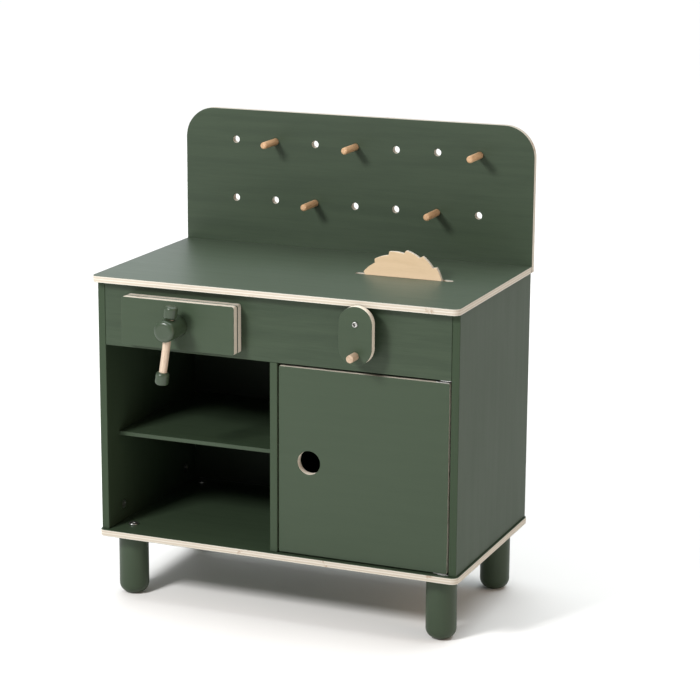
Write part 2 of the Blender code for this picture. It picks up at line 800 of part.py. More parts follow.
def make_pegs():
    """Loose dowels that slide into the peg board's holes."""
    start = -PEG_REACH
    end = BACKBOARD_THICKNESS - PEG_BACK_INSET
    profile = rounded_rod_profile(PEG_DIAMETER, start, end, PEG_EDGE)
    for index, (row, column) in enumerate(PEG_PLACES, start=1):
        peg_name = f"peg_{index}"
        mesh = turned_mesh("peg", profile, MEDIUM, AXIS_Y)
        smooth_round(add_piece(peg_name, mesh, hole_place(row, column), dowel_wood(peg_name)))


def make_door():
    """The inset door, which turns on two pins near its right edge."""
    pivot = pivot_empty("door_pivot", (pivot_x, pivot_y, door_low))
    width = door_right - door_left
    height = door_high - door_low
    mesh = slab_mesh("door", rectangle(width, height), PANEL_THICKNESS, FACING_FRONT)
    place = ((door_left + door_right) / 2, carcass_front, (door_low + door_high) / 2)
    door = add_piece("door", mesh, place, painted("door"), pivot)
    ease_edges(door)
    hole = Vector((door_left + FINGER_HOLE_FROM_EDGE, carcass_front, door_low + FINGER_HOLE_HEIGHT))
    through = PANEL_THICKNESS + OVERRUN
    drill(door, "finger_hole", [hole], FINGER_HOLE_DIAMETER, -OVERRUN, through, AXIS_Y, FINE)
    bore = PIVOT_DIAMETER + 2 * FIT
    depth = PIVOT_REACH + 2 * FIT
    top = Vector((pivot_x, pivot_y, door_high))
    bottom = Vector((pivot_x, pivot_y, door_low))
    drill(door, "top_pin_bore", [top], bore, -depth, OVERRUN, AXIS_Z, COARSE)
    drill(door, "bottom_pin_bore", [bottom], bore, -OVERRUN, depth, AXIS_Z, COARSE)
    make_hinge("top", pivot, door_high, apron_low, -1)
    make_hinge("bottom", pivot, door_low, base_top, 1)
    make_strike(door, pivot)


def make_hinge(end, pivot, door_face, frame_face, inward):
    """A pivot hinge: a bracket with a pin on the frame, and a plate on the edge of the door.
    inward is the direction from the frame towards the door."""
    half_depth = HINGE_PLATE_DEPTH / 2
    plate_low = door_face - inward * FIT
    plate_high = plate_low - inward * HINGE_PLATE_THICKNESS
    low = (door_right - DOOR_PLATE_REACH, pivot_y - half_depth, min(plate_low, plate_high))
    high = (door_right - EDGE_EASE, pivot_y + half_depth, max(plate_low, plate_high))
    name = "door_plate_" + end
    plate = box_between(name, low, high, steel(name), pivot)
    bore = PIVOT_DIAMETER + 2 * FIT
    centre = Vector((pivot_x, pivot_y, door_face))
    drill(plate, name + "_bore", [centre], bore, -OVERRUN, OVERRUN, AXIS_Z, COARSE)
    bracket_low = frame_face + inward * FIT
    bracket_high = bracket_low + inward * HINGE_PLATE_THICKNESS
    low_z = min(bracket_low, bracket_high)
    high_z = max(bracket_low, bracket_high)
    low = (side_inner - FIT - BRACKET_REACH, pivot_y - half_depth, low_z)
    high = (side_inner - FIT, pivot_y + half_depth, high_z)
    name = "hinge_bracket_" + end
    bracket = box_between(name, low, high, steel(name))
    tip = door_face + inward * PIVOT_REACH
    middle = (bracket_low + bracket_high) / 2
    profile = rod_profile(PIVOT_DIAMETER, min(middle, tip), max(middle, tip))
    pin = turned_mesh(name + "_pin", profile, COARSE)
    join_with(bracket, name + "_pin", pin, (pivot_x, pivot_y, 0.0))


def make_strike(door, pivot):
    """The magnet catch on the divider and the small steel plate it holds on the door."""
    door_back = carcass_front + PANEL_THICKNESS
    catch_x = divider_half + FIT
    centre_z = door_high - CATCH_FROM_TOP
    low = (catch_x, door_back + CATCH_GAP, centre_z - CATCH_SIZE[2] / 2)
    high = (catch_x + CATCH_SIZE[0], low[1] + CATCH_SIZE[1], centre_z + CATCH_SIZE[2] / 2)
    box_between("door_catch", low, high, plastic("door_catch"))
    strike_x = catch_x + CATCH_SIZE[0] - STRIKE_SIDE - FIT
    low = (strike_x, door_back - STRIKE_THICKNESS, centre_z - STRIKE_SIDE / 2)
    high = (strike_x + STRIKE_SIDE, door_back, centre_z + STRIKE_SIDE / 2)
    box_between("strike_plate", low, high, steel("strike_plate"), pivot)
    pocket = STRIKE_SIDE + 2 * FIT
    depth = STRIKE_THICKNESS + FIT + OVERRUN
    cutter = slab_mesh("strike_pocket", rectangle(pocket, pocket), depth, FACING_FRONT)
    pocket_y = door_back - STRIKE_THICKNESS - FIT
    cut_with(door, "strike_pocket", cutter, (strike_x + STRIKE_SIDE / 2, pocket_y, centre_z))


def vice_plate(name, front, parent=None):
    outline = rectangle(VICE_PLATE_WIDTH, VICE_PLATE_HEIGHT, (VICE_PLATE_RADIUS,) * 4)
    mesh = slab_mesh(name, outline, PANEL_THICKNESS, FACING_FRONT)
    piece = add_piece(name, mesh, (vice_x, front, vice_z), painted(name), parent)
    ease_edges(piece)
    return piece


def make_vice():
    """A fixed plate, a jaw that slides on two guides, and a spindle that turns in a nut block."""
    slide = pivot_empty("vice_slide", (vice_x, jaw_front, vice_z))
    turn = pivot_empty("vice_turn", (vice_x, hub_back, vice_z))
    fixed = vice_plate("vice_fixed_plate", fixed_plate_front)
    bore_for_vice(fixed, "vice_fixed", fixed_plate_front)
    jaw = vice_plate("vice_jaw", jaw_front, slide)
    axis = Vector((vice_x, jaw_back, vice_z))
    bore = SPINDLE_DIAMETER + 2 * RUNNING_FIT
    drill(jaw, "jaw_spindle_bore", [axis], bore, -PANEL_THICKNESS - OVERRUN, OVERRUN, AXIS_Y)
    recess = COLLAR_DIAMETER + 2 * RUNNING_FIT
    depth = COLLAR_THICKNESS + 2 * RUNNING_FIT
    drill(jaw, "jaw_collar_recess", [axis], recess, -depth, OVERRUN, AXIS_Y)
    sockets = [Vector((place.x, jaw_back, place.z)) for place in guide_places().values()]
    bore = GUIDE_DIAMETER + 2 * FIT
    drill(jaw, "jaw_guide_sockets", sockets, bore, -GUIDE_SOCKET, OVERRUN, AXIS_Y)
    make_guides(slide)
    make_nut_block()
    make_spindle(turn)
    make_bar()


def make_guides(slide):
    start = jaw_back - GUIDE_SOCKET + FIT
    end = apron_back + VICE_TRAVEL + GUIDE_OVERLAP
    for name, place in guide_places().items():
        guide_name = "vice_guide_" + name
        profile = rounded_rod_profile(GUIDE_DIAMETER, 0.0, end - start, GUIDE_EDGE, 1)
        mesh = turned_mesh("vice_guide", profile, MEDIUM, AXIS_Y)
        guide_place = Vector((place.x, start, place.z))
        smooth_round(add_piece(guide_name, mesh, guide_place, dowel_wood(guide_name), slide))


def make_nut_block():
    front = apron_back + FIT
    outline = rectangle(NUT_WIDTH, NUT_WIDTH)
    mesh = slab_mesh("vice_nut_block", outline, NUT_THICKNESS, FACING_FRONT)
    block = add_piece("vice_nut_block", mesh, (vice_x, front, vice_z), birch("vice_nut_block"))
    ease_edges(block)
    axis = Vector((vice_x, front, vice_z))
    bore = SPINDLE_DIAMETER + 2 * RUNNING_FIT
    drill(block, "nut_bore", [axis], bore, -OVERRUN, NUT_THICKNESS + OVERRUN, AXIS_Y)


def make_spindle(turn):
    """The spindle, its hub at the front and the collar that draws the jaw along with it."""
    socket_end = hub_back - HUB_SOCKET + FIT
    rear = apron_back + FIT + NUT_THICKNESS + VICE_TRAVEL
    start = socket_end - hub_back
    end = rear - hub_back
    profile = rod_profile(SPINDLE_DIAMETER, start, end)
    place = (vice_x, hub_back, vice_z)
    mesh = turned_mesh("vice_spindle", profile, MEDIUM, AXIS_Y)
    smooth_round(add_piece("vice_spindle", mesh, place, dowel_wood("vice_spindle"), turn))
    collar_end = jaw_back - hub_back - RUNNING_FIT
    inner = SPINDLE_DIAMETER + 2 * FIT
    profile = ring_profile(COLLAR_DIAMETER, inner, collar_end - COLLAR_THICKNESS, collar_end)
    mesh = turned_mesh("vice_collar", profile, MEDIUM, AXIS_Y)
    smooth_round(add_piece("vice_collar", mesh, place, steel("vice_collar"), turn))
    profile = rounded_rod_profile(HUB_DIAMETER, -HUB_LENGTH, 0.0, HUB_EDGE)
    mesh = turned_mesh("vice_hub", profile, FINE, AXIS_Y)
    hub = add_piece("vice_hub", mesh, place, painted("vice_hub"), turn)
    smooth_round(hub)
    axis = Vector(place)
    drill(hub, "hub_spindle_socket", [axis], inner, -HUB_SOCKET, OVERRUN, AXIS_Y)
    bar_bore = BAR_DIAMETER + 2 * RUNNING_FIT
    bore = turned_mesh("hub_bar_bore", rod_profile(bar_bore, -HUB_DIAMETER, HUB_DIAMETER), MEDIUM)
    bore.transform(Matrix.Rotation(BAR_TILT, 4, "Y"))
    cut_with(hub, "hub_bar_bore", bore, (vice_x, bar_y, vice_z))


def make_bar():
    """The bar that slides through the hub between its two caps, tilted as it hangs."""
    slide = pivot_empty("bar_slide", (vice_x, bar_y, vice_z))
    tilt = Matrix.Rotation(BAR_TILT, 4, "Y")
    high_cap = HUB_DIAMETER / 2 + FIT
    low_cap = -HUB_DIAMETER / 2 - FIT - BAR_TRAVEL
    place = (vice_x, bar_y, vice_z)
    reach = CAP_SOCKET - FIT
    mesh = turned_mesh("vice_bar", rod_profile(BAR_DIAMETER, low_cap - reach, high_cap + reach), MEDIUM)
    mesh.transform(tilt)
    smooth_round(add_piece("vice_bar", mesh, place, dowel_wood("vice_bar"), slide))
    for name, start, mouth, inward in (
        ("bar_cap_high", high_cap, high_cap, 1),
        ("bar_cap_low", low_cap - CAP_LENGTH, low_cap, -1),
    ):
        profile = rounded_rod_profile(CAP_DIAMETER, start, start + CAP_LENGTH, CAP_EDGE)
        mesh = turned_mesh(name, profile, MEDIUM)
        mesh.transform(tilt)
        cap = add_piece(name, mesh, place, painted(name), slide)
        smooth_round(cap)
        socket_end = mouth + inward * CAP_SOCKET
        outside = mouth - inward * OVERRUN
        profile = rod_profile(BAR_DIAMETER + 2 * FIT, min(outside, socket_end), max(outside, socket_end))
        socket = turned_mesh(name + "_socket", profile, MEDIUM)
        socket.transform(tilt)
        cut_with(cap, name + "_socket", socket, place)


def make_saw_drive():
    """The crank in front of the apron, and the axle that carries the blade under the worktop."""
    turn = pivot_empty("crank_turn", (crank_x, crank_plate_back, crank_z))
    make_crank(turn)
    make_axle(turn)
    make_blade(turn)
    make_bearings()


def make_crank(turn):
    radius = CRANK_PLATE_WIDTH / 2
    outline = []
    for centre, start in ((-CRANK_CENTRES, math.pi), (0.0, 0.0)):
        for step in range(CRANK_END_STEPS + 1):
            angle = start + step / CRANK_END_STEPS * math.pi
            outline.append((radius * math.cos(angle), centre + radius * math.sin(angle)))
    mesh = slab_mesh("crank_plate", outline, PANEL_THICKNESS, FACING_FRONT)
    place = (crank_x, crank_plate_front, crank_z)
    plate = add_piece("crank_plate", mesh, place, painted("crank_plate"), turn)
    ease_edges(plate)
    axis = Vector(place)
    bore = CRANK_BOLT_DIAMETER + 2 * FIT
    through = PANEL_THICKNESS + OVERRUN
    drill(plate, "crank_bolt_bore", [axis], bore, -OVERRUN, through, AXIS_Y, COARSE)
    knob_axis = Vector((crank_x, crank_plate_front, crank_z - KNOB_RADIUS_OF_TURN))
    bore = KNOB_DIAMETER + 2 * FIT
    drill(plate, "knob_socket", [knob_axis], bore, -OVERRUN, KNOB_SOCKET, AXIS_Y)
    profile = rounded_rod_profile(KNOB_DIAMETER, -KNOB_REACH, KNOB_SOCKET - FIT, KNOB_EDGE, 1)
    mesh = turned_mesh("crank_knob", profile, MEDIUM, AXIS_Y)
    smooth_round(add_piece("crank_knob", mesh, knob_axis, dowel_wood("crank_knob"), turn))
    make_crank_bolt(turn, axis)


def make_crank_bolt(turn, axis):
    head = CRANK_BOLT_HEAD_DIAMETER / 2
    shank = CRANK_BOLT_DIAMETER / 2
    length = PANEL_THICKNESS + FIT + CRANK_BOLT_DEPTH
    profile = [
        (0.0, -FIT - CRANK_BOLT_HEAD_HEIGHT),
        (head * CRANK_BOLT_FACE_SHARE, -FIT - CRANK_BOLT_HEAD_HEIGHT),
        (head, -FIT - CRANK_BOLT_HEAD_HEIGHT / 2),
        (head, -FIT),
        (shank, -FIT),
        (shank, length),
        (0.0, length),
    ]
    mesh = turned_mesh("crank_bolt", profile, COARSE, AXIS_Y)
    bolt = add_piece("crank_bolt", mesh, axis, steel("crank_bolt"), turn)
    smooth_round(bolt)
    face = -FIT - CRANK_BOLT_HEAD_HEIGHT
    across = HEX_SOCKET / math.cos(math.pi / 6)
    end = face + HEX_SOCKET_DEPTH
    drill(bolt, "hex_socket", [axis], across, face - OVERRUN, end, AXIS_Y, HEX_SIDES)


def make_axle(turn):
    start = FIT
    end = axle_back - crank_plate_back
    place = Vector((crank_x, crank_plate_back, crank_z))
    mesh = turned_mesh("saw_axle", rod_profile(AXLE_DIAMETER, start, end), MEDIUM, AXIS_Y)
    axle = add_piece("saw_axle", mesh, place, dowel_wood("saw_axle"), turn)
    smooth_round(axle)
    bore = CRANK_BOLT_DIAMETER + 2 * FIT
    depth = CRANK_BOLT_DEPTH + 2 * FIT
    drill(axle, "axle_bolt_bore", [place], bore, -OVERRUN, depth, AXIS_Y, COARSE)


def make_blade(turn):
    mesh = slab_mesh("saw_blade", blade_outline(), BLADE_THICKNESS, FACING_FRONT)
    front = blade_y - BLADE_THICKNESS / 2
    back = blade_y + BLADE_THICKNESS / 2
    blade = add_piece("saw_blade", mesh, (crank_x, front, crank_z), birch("saw_blade"), turn)
    bore = AXLE_DIAMETER + 2 * FIT
    axis = Vector((crank_x, front, crank_z))
    drill(blade, "blade_bore", [axis], bore, -OVERRUN, BLADE_THICKNESS + OVERRUN, AXIS_Y)
    profile = ring_profile(BLADE_COLLAR_DIAMETER, bore, 0.0, BLADE_COLLAR_THICKNESS)
    for name, start in (
        ("blade_collar_front", front - FIT - BLADE_COLLAR_THICKNESS),
        ("blade_collar_back", back + FIT),
    ):
        mesh = turned_mesh(name, profile, MEDIUM, AXIS_Y)
        collar = add_piece(name, mesh, (crank_x, start, crank_z), birch(name), turn)
        smooth_round(collar)


def make_bearings():
    """A flanged bush in the apron, and a block under the worktop for the axle's far end."""
    inner = AXLE_DIAMETER / 2 + RUNNING_FIT
    outer = inner + BUSH_WALL
    profile = [
        (inner, -FIT - BUSH_FLANGE_THICKNESS),
        (outer + BUSH_FLANGE, -FIT - BUSH_FLANGE_THICKNESS),
        (outer + BUSH_FLANGE, -FIT),
        (outer, -FIT),
        (outer, PANEL_THICKNESS),
        (inner, PANEL_THICKNESS),
    ]
    mesh = turned_mesh("axle_bush", profile, MEDIUM, AXIS_Y)
    place = Vector((crank_x, carcass_front, crank_z))
    smooth_round(add_piece("axle_bush", mesh, place, plastic("axle_bush")))
    low = (crank_x - BEARING_WIDTH / 2, bearing_front, crank_z - BEARING_WIDTH / 2)
    high = (crank_x + BEARING_WIDTH / 2, bearing_front + BEARING_THICKNESS, carcass_top)
    block = box_between("axle_bearing_block", low, high, birch("axle_bearing_block"))
    ease_edges(block)
    axis = Vector((crank_x, bearing_front, crank_z))
    bore = AXLE_DIAMETER + 2 * RUNNING_FIT
    drill(block, "bearing_bore", [axis], bore, -OVERRUN, BEARING_THICKNESS + OVERRUN, AXIS_Y)


def build():
    clear_scene()
    make_worktop()
    make_base_panel()
    make_backboard()
    make_side_panel("side_panel_left", -1)
    make_side_panel("side_panel_right", 1)
    make_divider()
    make_back_panel()
    make_apron()
    make_shelf()
    make_cams()
    make_legs()
    make_board_screws()
    make_pegs()
    make_door()
    make_vice()
    make_saw_drive()


build()
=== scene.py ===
"""Toy workbench: the finished shapes, paint and bare wood of every piece of the bench.

All lengths are metres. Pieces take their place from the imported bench; the values below hold the
sizes that its boxes don't give, such as radii and hole patterns.
"""

import math

import bmesh
import bpy
from mathutils import Euler, Matrix, Vector


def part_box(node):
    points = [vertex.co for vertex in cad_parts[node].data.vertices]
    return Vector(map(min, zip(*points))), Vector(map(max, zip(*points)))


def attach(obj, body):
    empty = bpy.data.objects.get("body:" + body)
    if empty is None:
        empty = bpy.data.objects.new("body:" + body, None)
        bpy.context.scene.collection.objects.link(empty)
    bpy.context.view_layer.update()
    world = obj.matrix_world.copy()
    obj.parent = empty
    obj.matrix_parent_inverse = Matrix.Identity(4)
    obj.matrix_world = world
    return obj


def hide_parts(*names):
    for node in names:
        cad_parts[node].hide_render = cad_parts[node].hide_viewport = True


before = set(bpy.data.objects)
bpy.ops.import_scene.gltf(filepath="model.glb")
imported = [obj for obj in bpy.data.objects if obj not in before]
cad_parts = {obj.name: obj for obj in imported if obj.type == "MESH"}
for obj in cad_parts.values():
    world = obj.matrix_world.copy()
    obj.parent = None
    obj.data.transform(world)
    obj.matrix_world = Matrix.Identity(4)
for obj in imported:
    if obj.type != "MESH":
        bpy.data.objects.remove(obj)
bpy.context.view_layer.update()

# Boards
BOARD_EASE = 0.0006
EASE_STEPS = 4
CORNER_STEPS = 14
BOARD_CORNER = 0.011
PEG_BOARD_CORNER = 0.050
SQUARE_CORNER = 0.0012
VICE_PLATE_CORNER = 0.004
PLIES = 5

# Peg board
HOLE_COLUMNS = 7
HOLE_ROWS = 2
HOLE_PITCH = 0.070
HOLE_ROW_PITCH = 0.096
TOP_ROW_FROM_EDGE = 0.0495
HOLE_DIAMETER = 0.0118
HOLE_SIDES = 40
SCREW_OPENING = 0.0084

# Door and its pivot hinges
FINGER_HOLE_DIAMETER = 0.037
FINGER_HOLE_FROM_EDGE = 0.0495
FINGER_HOLE_HEIGHT = 0.1463
METAL_EASE = 0.00015
PLATE_CORNER = 0.0015
LEAF_THICKNESS = 0.0008
PIVOT_DIAMETER = 0.004
PIVOT_FROM_EDGE = 0.0075
STRIKE_PROUD = 0.0002

# Vice
BAR_TILT = math.radians(8.6)
CAP_LENGTH = 0.020
SPINDLE_BORE = 0.019
GUIDE_BORE = 0.013
SCREW_NECK = 0.032
THREAD_PITCH = 0.008
THREAD_DEPTH = 0.0018
THREAD_FROM_END = 0.002
NECK_SLOPE = 0.001
THREAD_STEPS = 48
RIDGE_SHARE = 0.75
RIDGE_SIDES = 6

# Saw
TEETH = 17
TOOTH_POINTS = 8
TIP_RADIUS = 0.0752
ROOT_RADIUS = 0.0700
TIP_ANGLE = math.radians(86.6)
STEEP_SHARE = 0.13
BACK_BOW = 0.9
DISC_EASE = 0.0005
SLOT_LENGTH = 0.1612
SLOT_WIDTH = 0.0116
COLLAR_BORE = 0.0166
AXLE_BORE = 0.017
BUSH_WALL = 0.003
BUSH_FLANGE = 0.002
FLANGE_EASE = 0.0004
CRANK_BOLT_BORE = 0.0066

# Rims of turned pieces: the radius of the rounding at the low end and at the high end
RIM_STEPS = 6
METAL_STEPS = 3
LEG_RIMS = (0.0165, 0.0012)
DOWEL_RIMS = (0.0008, 0.0015)
KNOB_RIMS = (0.0016, 0.0004)
HUB_RIMS = (0.0064, 0.0012)
CAP_RIMS = (0.0046, 0.0046)
BAR_RIMS = (0.0006, 0.0006)
CAM_RIMS = (0.0006, 0.0006)
PIN_RIMS = (0.0005, 0.0008)
METAL_RIMS = (0.0004, 0.0004)
LIP_EASE = 0.0005
PEG_BACK_RIM = 0.0012
PEG_TIP_SHARE = 0.72

# Bolts and screws: shank radii, the chamfer at the tip, and a driver's width and depth
LEG_BOLT_SHANK = 0.004
LEG_BOLT_CHAMFER = (0.0006, 0.001)
LEG_BOLT_GAP = 0.0003
LEG_BOLT_RIMS = (0.0002, 0.0013)
LEG_BOLT_KEY = (0.005, 0.0016)
CRANK_BOLT_SHANK = 0.003
CRANK_BOLT_CHAMFER = (0.0004, 0.0006)
CRANK_BOLT_HEAD = 0.0018
CRANK_BOLT_RIMS = (0.0002, 0.0009)
CRANK_BOLT_KEY = (0.0056, 0.0042)
BOARD_SCREW_SHANK = 0.0019
BOARD_SCREW_KEY = (0.0044, 0.0014)
CAM_KEY = (0.009, 0.0025)
CROSS_BAR = 0.22

# Roundness
FINE_SIDES = 72
SMALL_SIDES = 40
SMOOTH_ANGLE = math.radians(32)
LEVEL = 0.999999
WELD = 1e-6

# Directions of a flat outline: across X and Y lying down, X and Z facing the front
LYING = Matrix.Identity(4)
FACING_FRONT = Matrix(((1, 0, 0, 0), (0, 0, 1, 0), (0, 1, 0, 0), (0, 0, 0, 1)))

# Turns that lay a turned piece's axis along X or Y
UPRIGHT = (0.0, 0.0, 0.0)
ALONG_X = (0.0, math.pi / 2, 0.0)
ALONG_Y = (-math.pi / 2, 0.0, 0.0)
TOWARDS_FRONT = (math.pi / 2, 0.0, 0.0)


class Value:
    """One output socket. Arithmetic on it adds Math nodes to its tree."""

    def __init__(self, graph, socket):
        self.graph = graph
        self.socket = socket

    def math(self, operation, *others, clamp=False):
        terms = dict(enumerate((self, *others)))
        settings = {"operation": operation, "use_clamp": clamp}
        return self.graph.node("ShaderNodeMath", settings, terms)[0]

    def reflected(self, operation, first):
        return self.graph.node("ShaderNodeMath", {"operation": operation}, {0: first, 1: self})[0]

    def __add__(self, other):
        return self.math("ADD", other)

    def __radd__(self, other):
        return self.reflected("ADD", other)

    def __sub__(self, other):
        return self.math("SUBTRACT", other)

    def __rsub__(self, other):
        return self.reflected("SUBTRACT", other)

    def __mul__(self, other):
        return self.math("MULTIPLY", other)

    def __rmul__(self, other):
        return self.reflected("MULTIPLY", other)

    def __truediv__(self, other):
        return self.math("DIVIDE", other)

    def __rtruediv__(self, other):
        return self.reflected("DIVIDE", other)

    def __pow__(self, other):
        return self.math("POWER", other)

    def __mod__(self, other):
        return self.math("FLOORED_MODULO", other)

    def clamped(self):
        return self.math("ADD", 0.0, clamp=True)


class Made:
    """A node that was added to a tree. Its outputs are read by name or number."""

    def __init__(self, graph, node):
        self.graph = graph
        self.node = node

    def __getitem__(self, key):
        return Value(self.graph, self.node.outputs[key])


class Graph:
    """A shader or geometry tree that is written as expressions."""

    def __init__(self, tree):
        self.tree = tree

    def node(self, kind, settings=None, inputs=None):
        """Add a node of a type. Its settings come first, then the values or links of its inputs."""
        made = self.tree.nodes.new(kind)
        for name, value in (settings or {}).items():
            if name == "stops":
                self.set_stops(made.color_ramp, value)
            else:
                setattr(made, name, value)
        for key, value in (inputs or {}).items():
            if isinstance(value, (list, tuple)) and value and isinstance(value[0], Value):
                for item in value:
                    self.tree.links.new(item.socket, made.inputs[key])
            elif isinstance(value, Value):
                self.tree.links.new(value.socket, made.inputs[key])
            else:
                made.inputs[key].default_value = value
        return Made(self, made)

    @staticmethod
    def set_stops(ramp, stops):
        while len(ramp.elements) < len(stops):
            ramp.elements.new(0.5)
        for element, (place, colour) in zip(ramp.elements, stops):
            element.position = place
            element.color = (*colour, 1.0)

    def vector(self, operation, *terms):
        """Vector Math on links or plain vectors; a plain number goes to the Scale input."""
        inputs = {}
        for index, term in enumerate(terms):
            scales = operation == "SCALE" and index == 1
            inputs["Scale" if scales else index] = term
        return self.node("ShaderNodeVectorMath", {"operation": operation}, inputs)[0]

    def combine(self, x=0.0, y=0.0, z=0.0):
        return self.node("ShaderNodeCombineXYZ", None, {"X": x, "Y": y, "Z": z})[0]

    def split(self, vector):
        parts = self.node("ShaderNodeSeparateXYZ", None, {0: vector})
        return parts[0], parts[1], parts[2]


# ---------------------------------------------------------------------------------------------
# Finishes
# ---------------------------------------------------------------------------------------------


class Finish(Graph):
    """A material whose surface detail reads the piece's own place."""

    def __init__(self, name, roughness=0.5, metallic=0.0, gloss=0.5):
        self.material = bpy.data.materials.new(name)
        self.material.use_nodes = True
        super().__init__(self.material.node_tree)
        self.shader = self.tree.nodes["Principled BSDF"]
        self.shader.inputs["Roughness"].default_value = roughness
        self.shader.inputs["Metallic"].default_value = metallic
        self.shader.inputs["Specular IOR Level"].default_value = gloss
        self.place = self.node("ShaderNodeTexCoord")["Object"]

    def noise(self, vector, scale=1.0, detail=3.0, roughness=0.5, distortion=0.0):
        values = {
            "Vector": vector,
            "Scale": scale,
            "Detail": detail,
            "Roughness": roughness,
            "Distortion": distortion,
        }
        return self.node("ShaderNodeTexNoise", {"noise_dimensions": "3D"}, values)["Fac"]

    def stretched(self, turn, centre, along, across):
        """The piece's place with its grain direction on Z, drawn out along the grain."""
        values = {
            "Vector": self.place,
            "Location": centre,
            "Rotation": turn,
            "Scale": (1 / across, 1 / across, 1 / along),
        }
        return self.node("ShaderNodeMapping", {"vector_type": "TEXTURE"}, values)[0]

    def attribute(self, name):
        settings = {"attribute_type": "GEOMETRY", "attribute_name": name}
        return self.node("ShaderNodeAttribute", settings)["Fac"]

    def between(self, value, low, high):
        """0 below low, 1 above high, smooth in between."""
        settings = {"interpolation_type": "SMOOTHSTEP"}
        inputs = {"Value": value, "From Min": low, "From Max": high}
        return self.node("ShaderNodeMapRange", settings, inputs)[0]

    def mix(self, factor, first, second):
        ends = [item if isinstance(item, Value) else (*item, 1.0) for item in (first, second)]
        inputs = {0: factor, 6: ends[0], 7: ends[1]}
        return self.node("ShaderNodeMix", {"data_type": "RGBA"}, inputs)[2]

    def ramp(self, value, *stops):
        return self.node("ShaderNodeValToRGB", {"stops": stops}, {"Fac": value})["Color"]

    def connect(self, colour=None, roughness=None, height=None, depth=0.0002, strength=0.5):
        if colour is not None:
            self.tree.links.new(colour.socket, self.shader.inputs["Base Color"])
        if roughness is not None:
            self.tree.links.new(roughness.clamped().socket, self.shader.inputs["Roughness"])
        if height is not None:
            inputs = {"Strength": strength, "Distance": depth, "Height": height}
            bump = self.node("ShaderNodeBump", None, inputs)["Normal"]
            self.tree.links.new(bump.socket, self.shader.inputs["Normal"])
        return self.material


GREEN_DEEP = (0.026, 0.042, 0.023)
GREEN_FACE = (0.036, 0.055, 0.031)
GREEN_THIN = (0.075, 0.095, 0.062)
ZINC = (0.52, 0.515, 0.50)
GRAIN_ALONG_X = (0.0, math.pi / 2, 0.0)
GRAIN_ALONG_Y = (math.pi / 2, 0.0, 0.0)
GRAIN_ALONG_Z = (0.0, 0.0, 0.0)
SCRATCH_TURN = (0.4, 0.7, 0.2)
ORIGIN = (0.0, 0.0, 0.0)


def toned(colour, tone):
    return tuple(channel * tone for channel in colour)


def satin_paint(name, grain, grain_shown=1.0, centre=ORIGIN, gloss=0.26, tone=1.0, matt=0.0):
    """Thin satin paint over birch: the veneer's grain shows faintly in its colour and its gloss."""
    face = toned(GREEN_FACE, tone)
    deep = toned(GREEN_DEEP, tone)
    f = Finish(name, gloss=gloss)
    long_grain = f.stretched(grain, centre, 5.0, 85.0)
    figure = f.noise(long_grain, detail=5.0, roughness=0.62, distortion=0.35)
    fibres = f.noise(f.stretched(grain, centre, 26.0, 950.0), roughness=0.55)
    clouds = f.noise(f.place, scale=7.0, detail=2.0)
    orange_peel = f.noise(f.place, scale=520.0, detail=1.0)
    pores = f.between(fibres, 0.60, 0.74)
    depth = figure * 0.60 + fibres * 0.25 + clouds * 0.15
    colour = f.mix(f.between(depth, 0.36, 0.66) * (0.85 * grain_shown), face, deep)
    colour = f.mix(pores * (0.30 * grain_shown), colour, deep)
    worn = f.attribute("rim") * f.between(f.noise(f.place, scale=60.0, detail=4.0), 0.42, 0.68)
    colour = f.mix(worn * 0.55, colour, GREEN_THIN)
    roughness = 0.38 + matt + figure * 0.08 + pores * 0.08 + clouds * 0.04
    height = (figure * 0.5 - pores * 0.5) * grain_shown + orange_peel * 0.35
    return f.connect(colour, roughness, height, depth=0.00022, strength=0.55)


def bare_ply_edge(name, tone=1.0):
    """The sawn and sanded edge of birch plywood: light long-grain layers between darker end grain,
    with a thin glue line between them and now and then a small knot."""
    f = Finish(name, gloss=0.3)
    through = f.attribute("through")
    waver = (f.noise(f.place, scale=24.0, detail=2.0) - 0.5) * 0.30
    layer = through * PLIES + waver
    within = layer % 1.0
    crossed = f.between((layer * 0.5) % 1.0, 0.48, 0.52)
    glue = 1.0 - f.between(0.5 - (within - 0.5).math("ABSOLUTE"), 0.015, 0.10)
    across = f.vector("SCALE", f.combine(through, through, through), 9.0)
    drawn = f.vector("ADD", f.vector("SCALE", f.place, 45.0), across)
    long_grain = f.noise(drawn, roughness=0.6)
    end_grain = f.noise(f.place, scale=1500.0, detail=2.0)
    light = f.mix(long_grain, toned((0.60, 0.565, 0.50), tone), toned((0.53, 0.485, 0.41), tone))
    dark = f.mix(end_grain, toned((0.48, 0.41, 0.32), tone), toned((0.35, 0.28, 0.20), tone))
    colour = f.mix(crossed * 0.60, light, dark)
    colour = f.mix(glue * 0.45, colour, (0.30, 0.21, 0.13))
    knots = f.between(f.noise(f.place, scale=29.0, detail=1.0), 0.655, 0.70)
    knots = knots * f.between(f.noise(f.place, scale=260.0, detail=2.0), 0.46, 0.60)
    colour = f.mix(knots * 0.65, colour, (0.27, 0.16, 0.09))
    roughness = 0.52 + end_grain * 0.16
    height = long_grain * 0.3 + end_grain * 0.35 - glue * 0.6
    return f.connect(colour, roughness, height, depth=0.00018, strength=0.6)


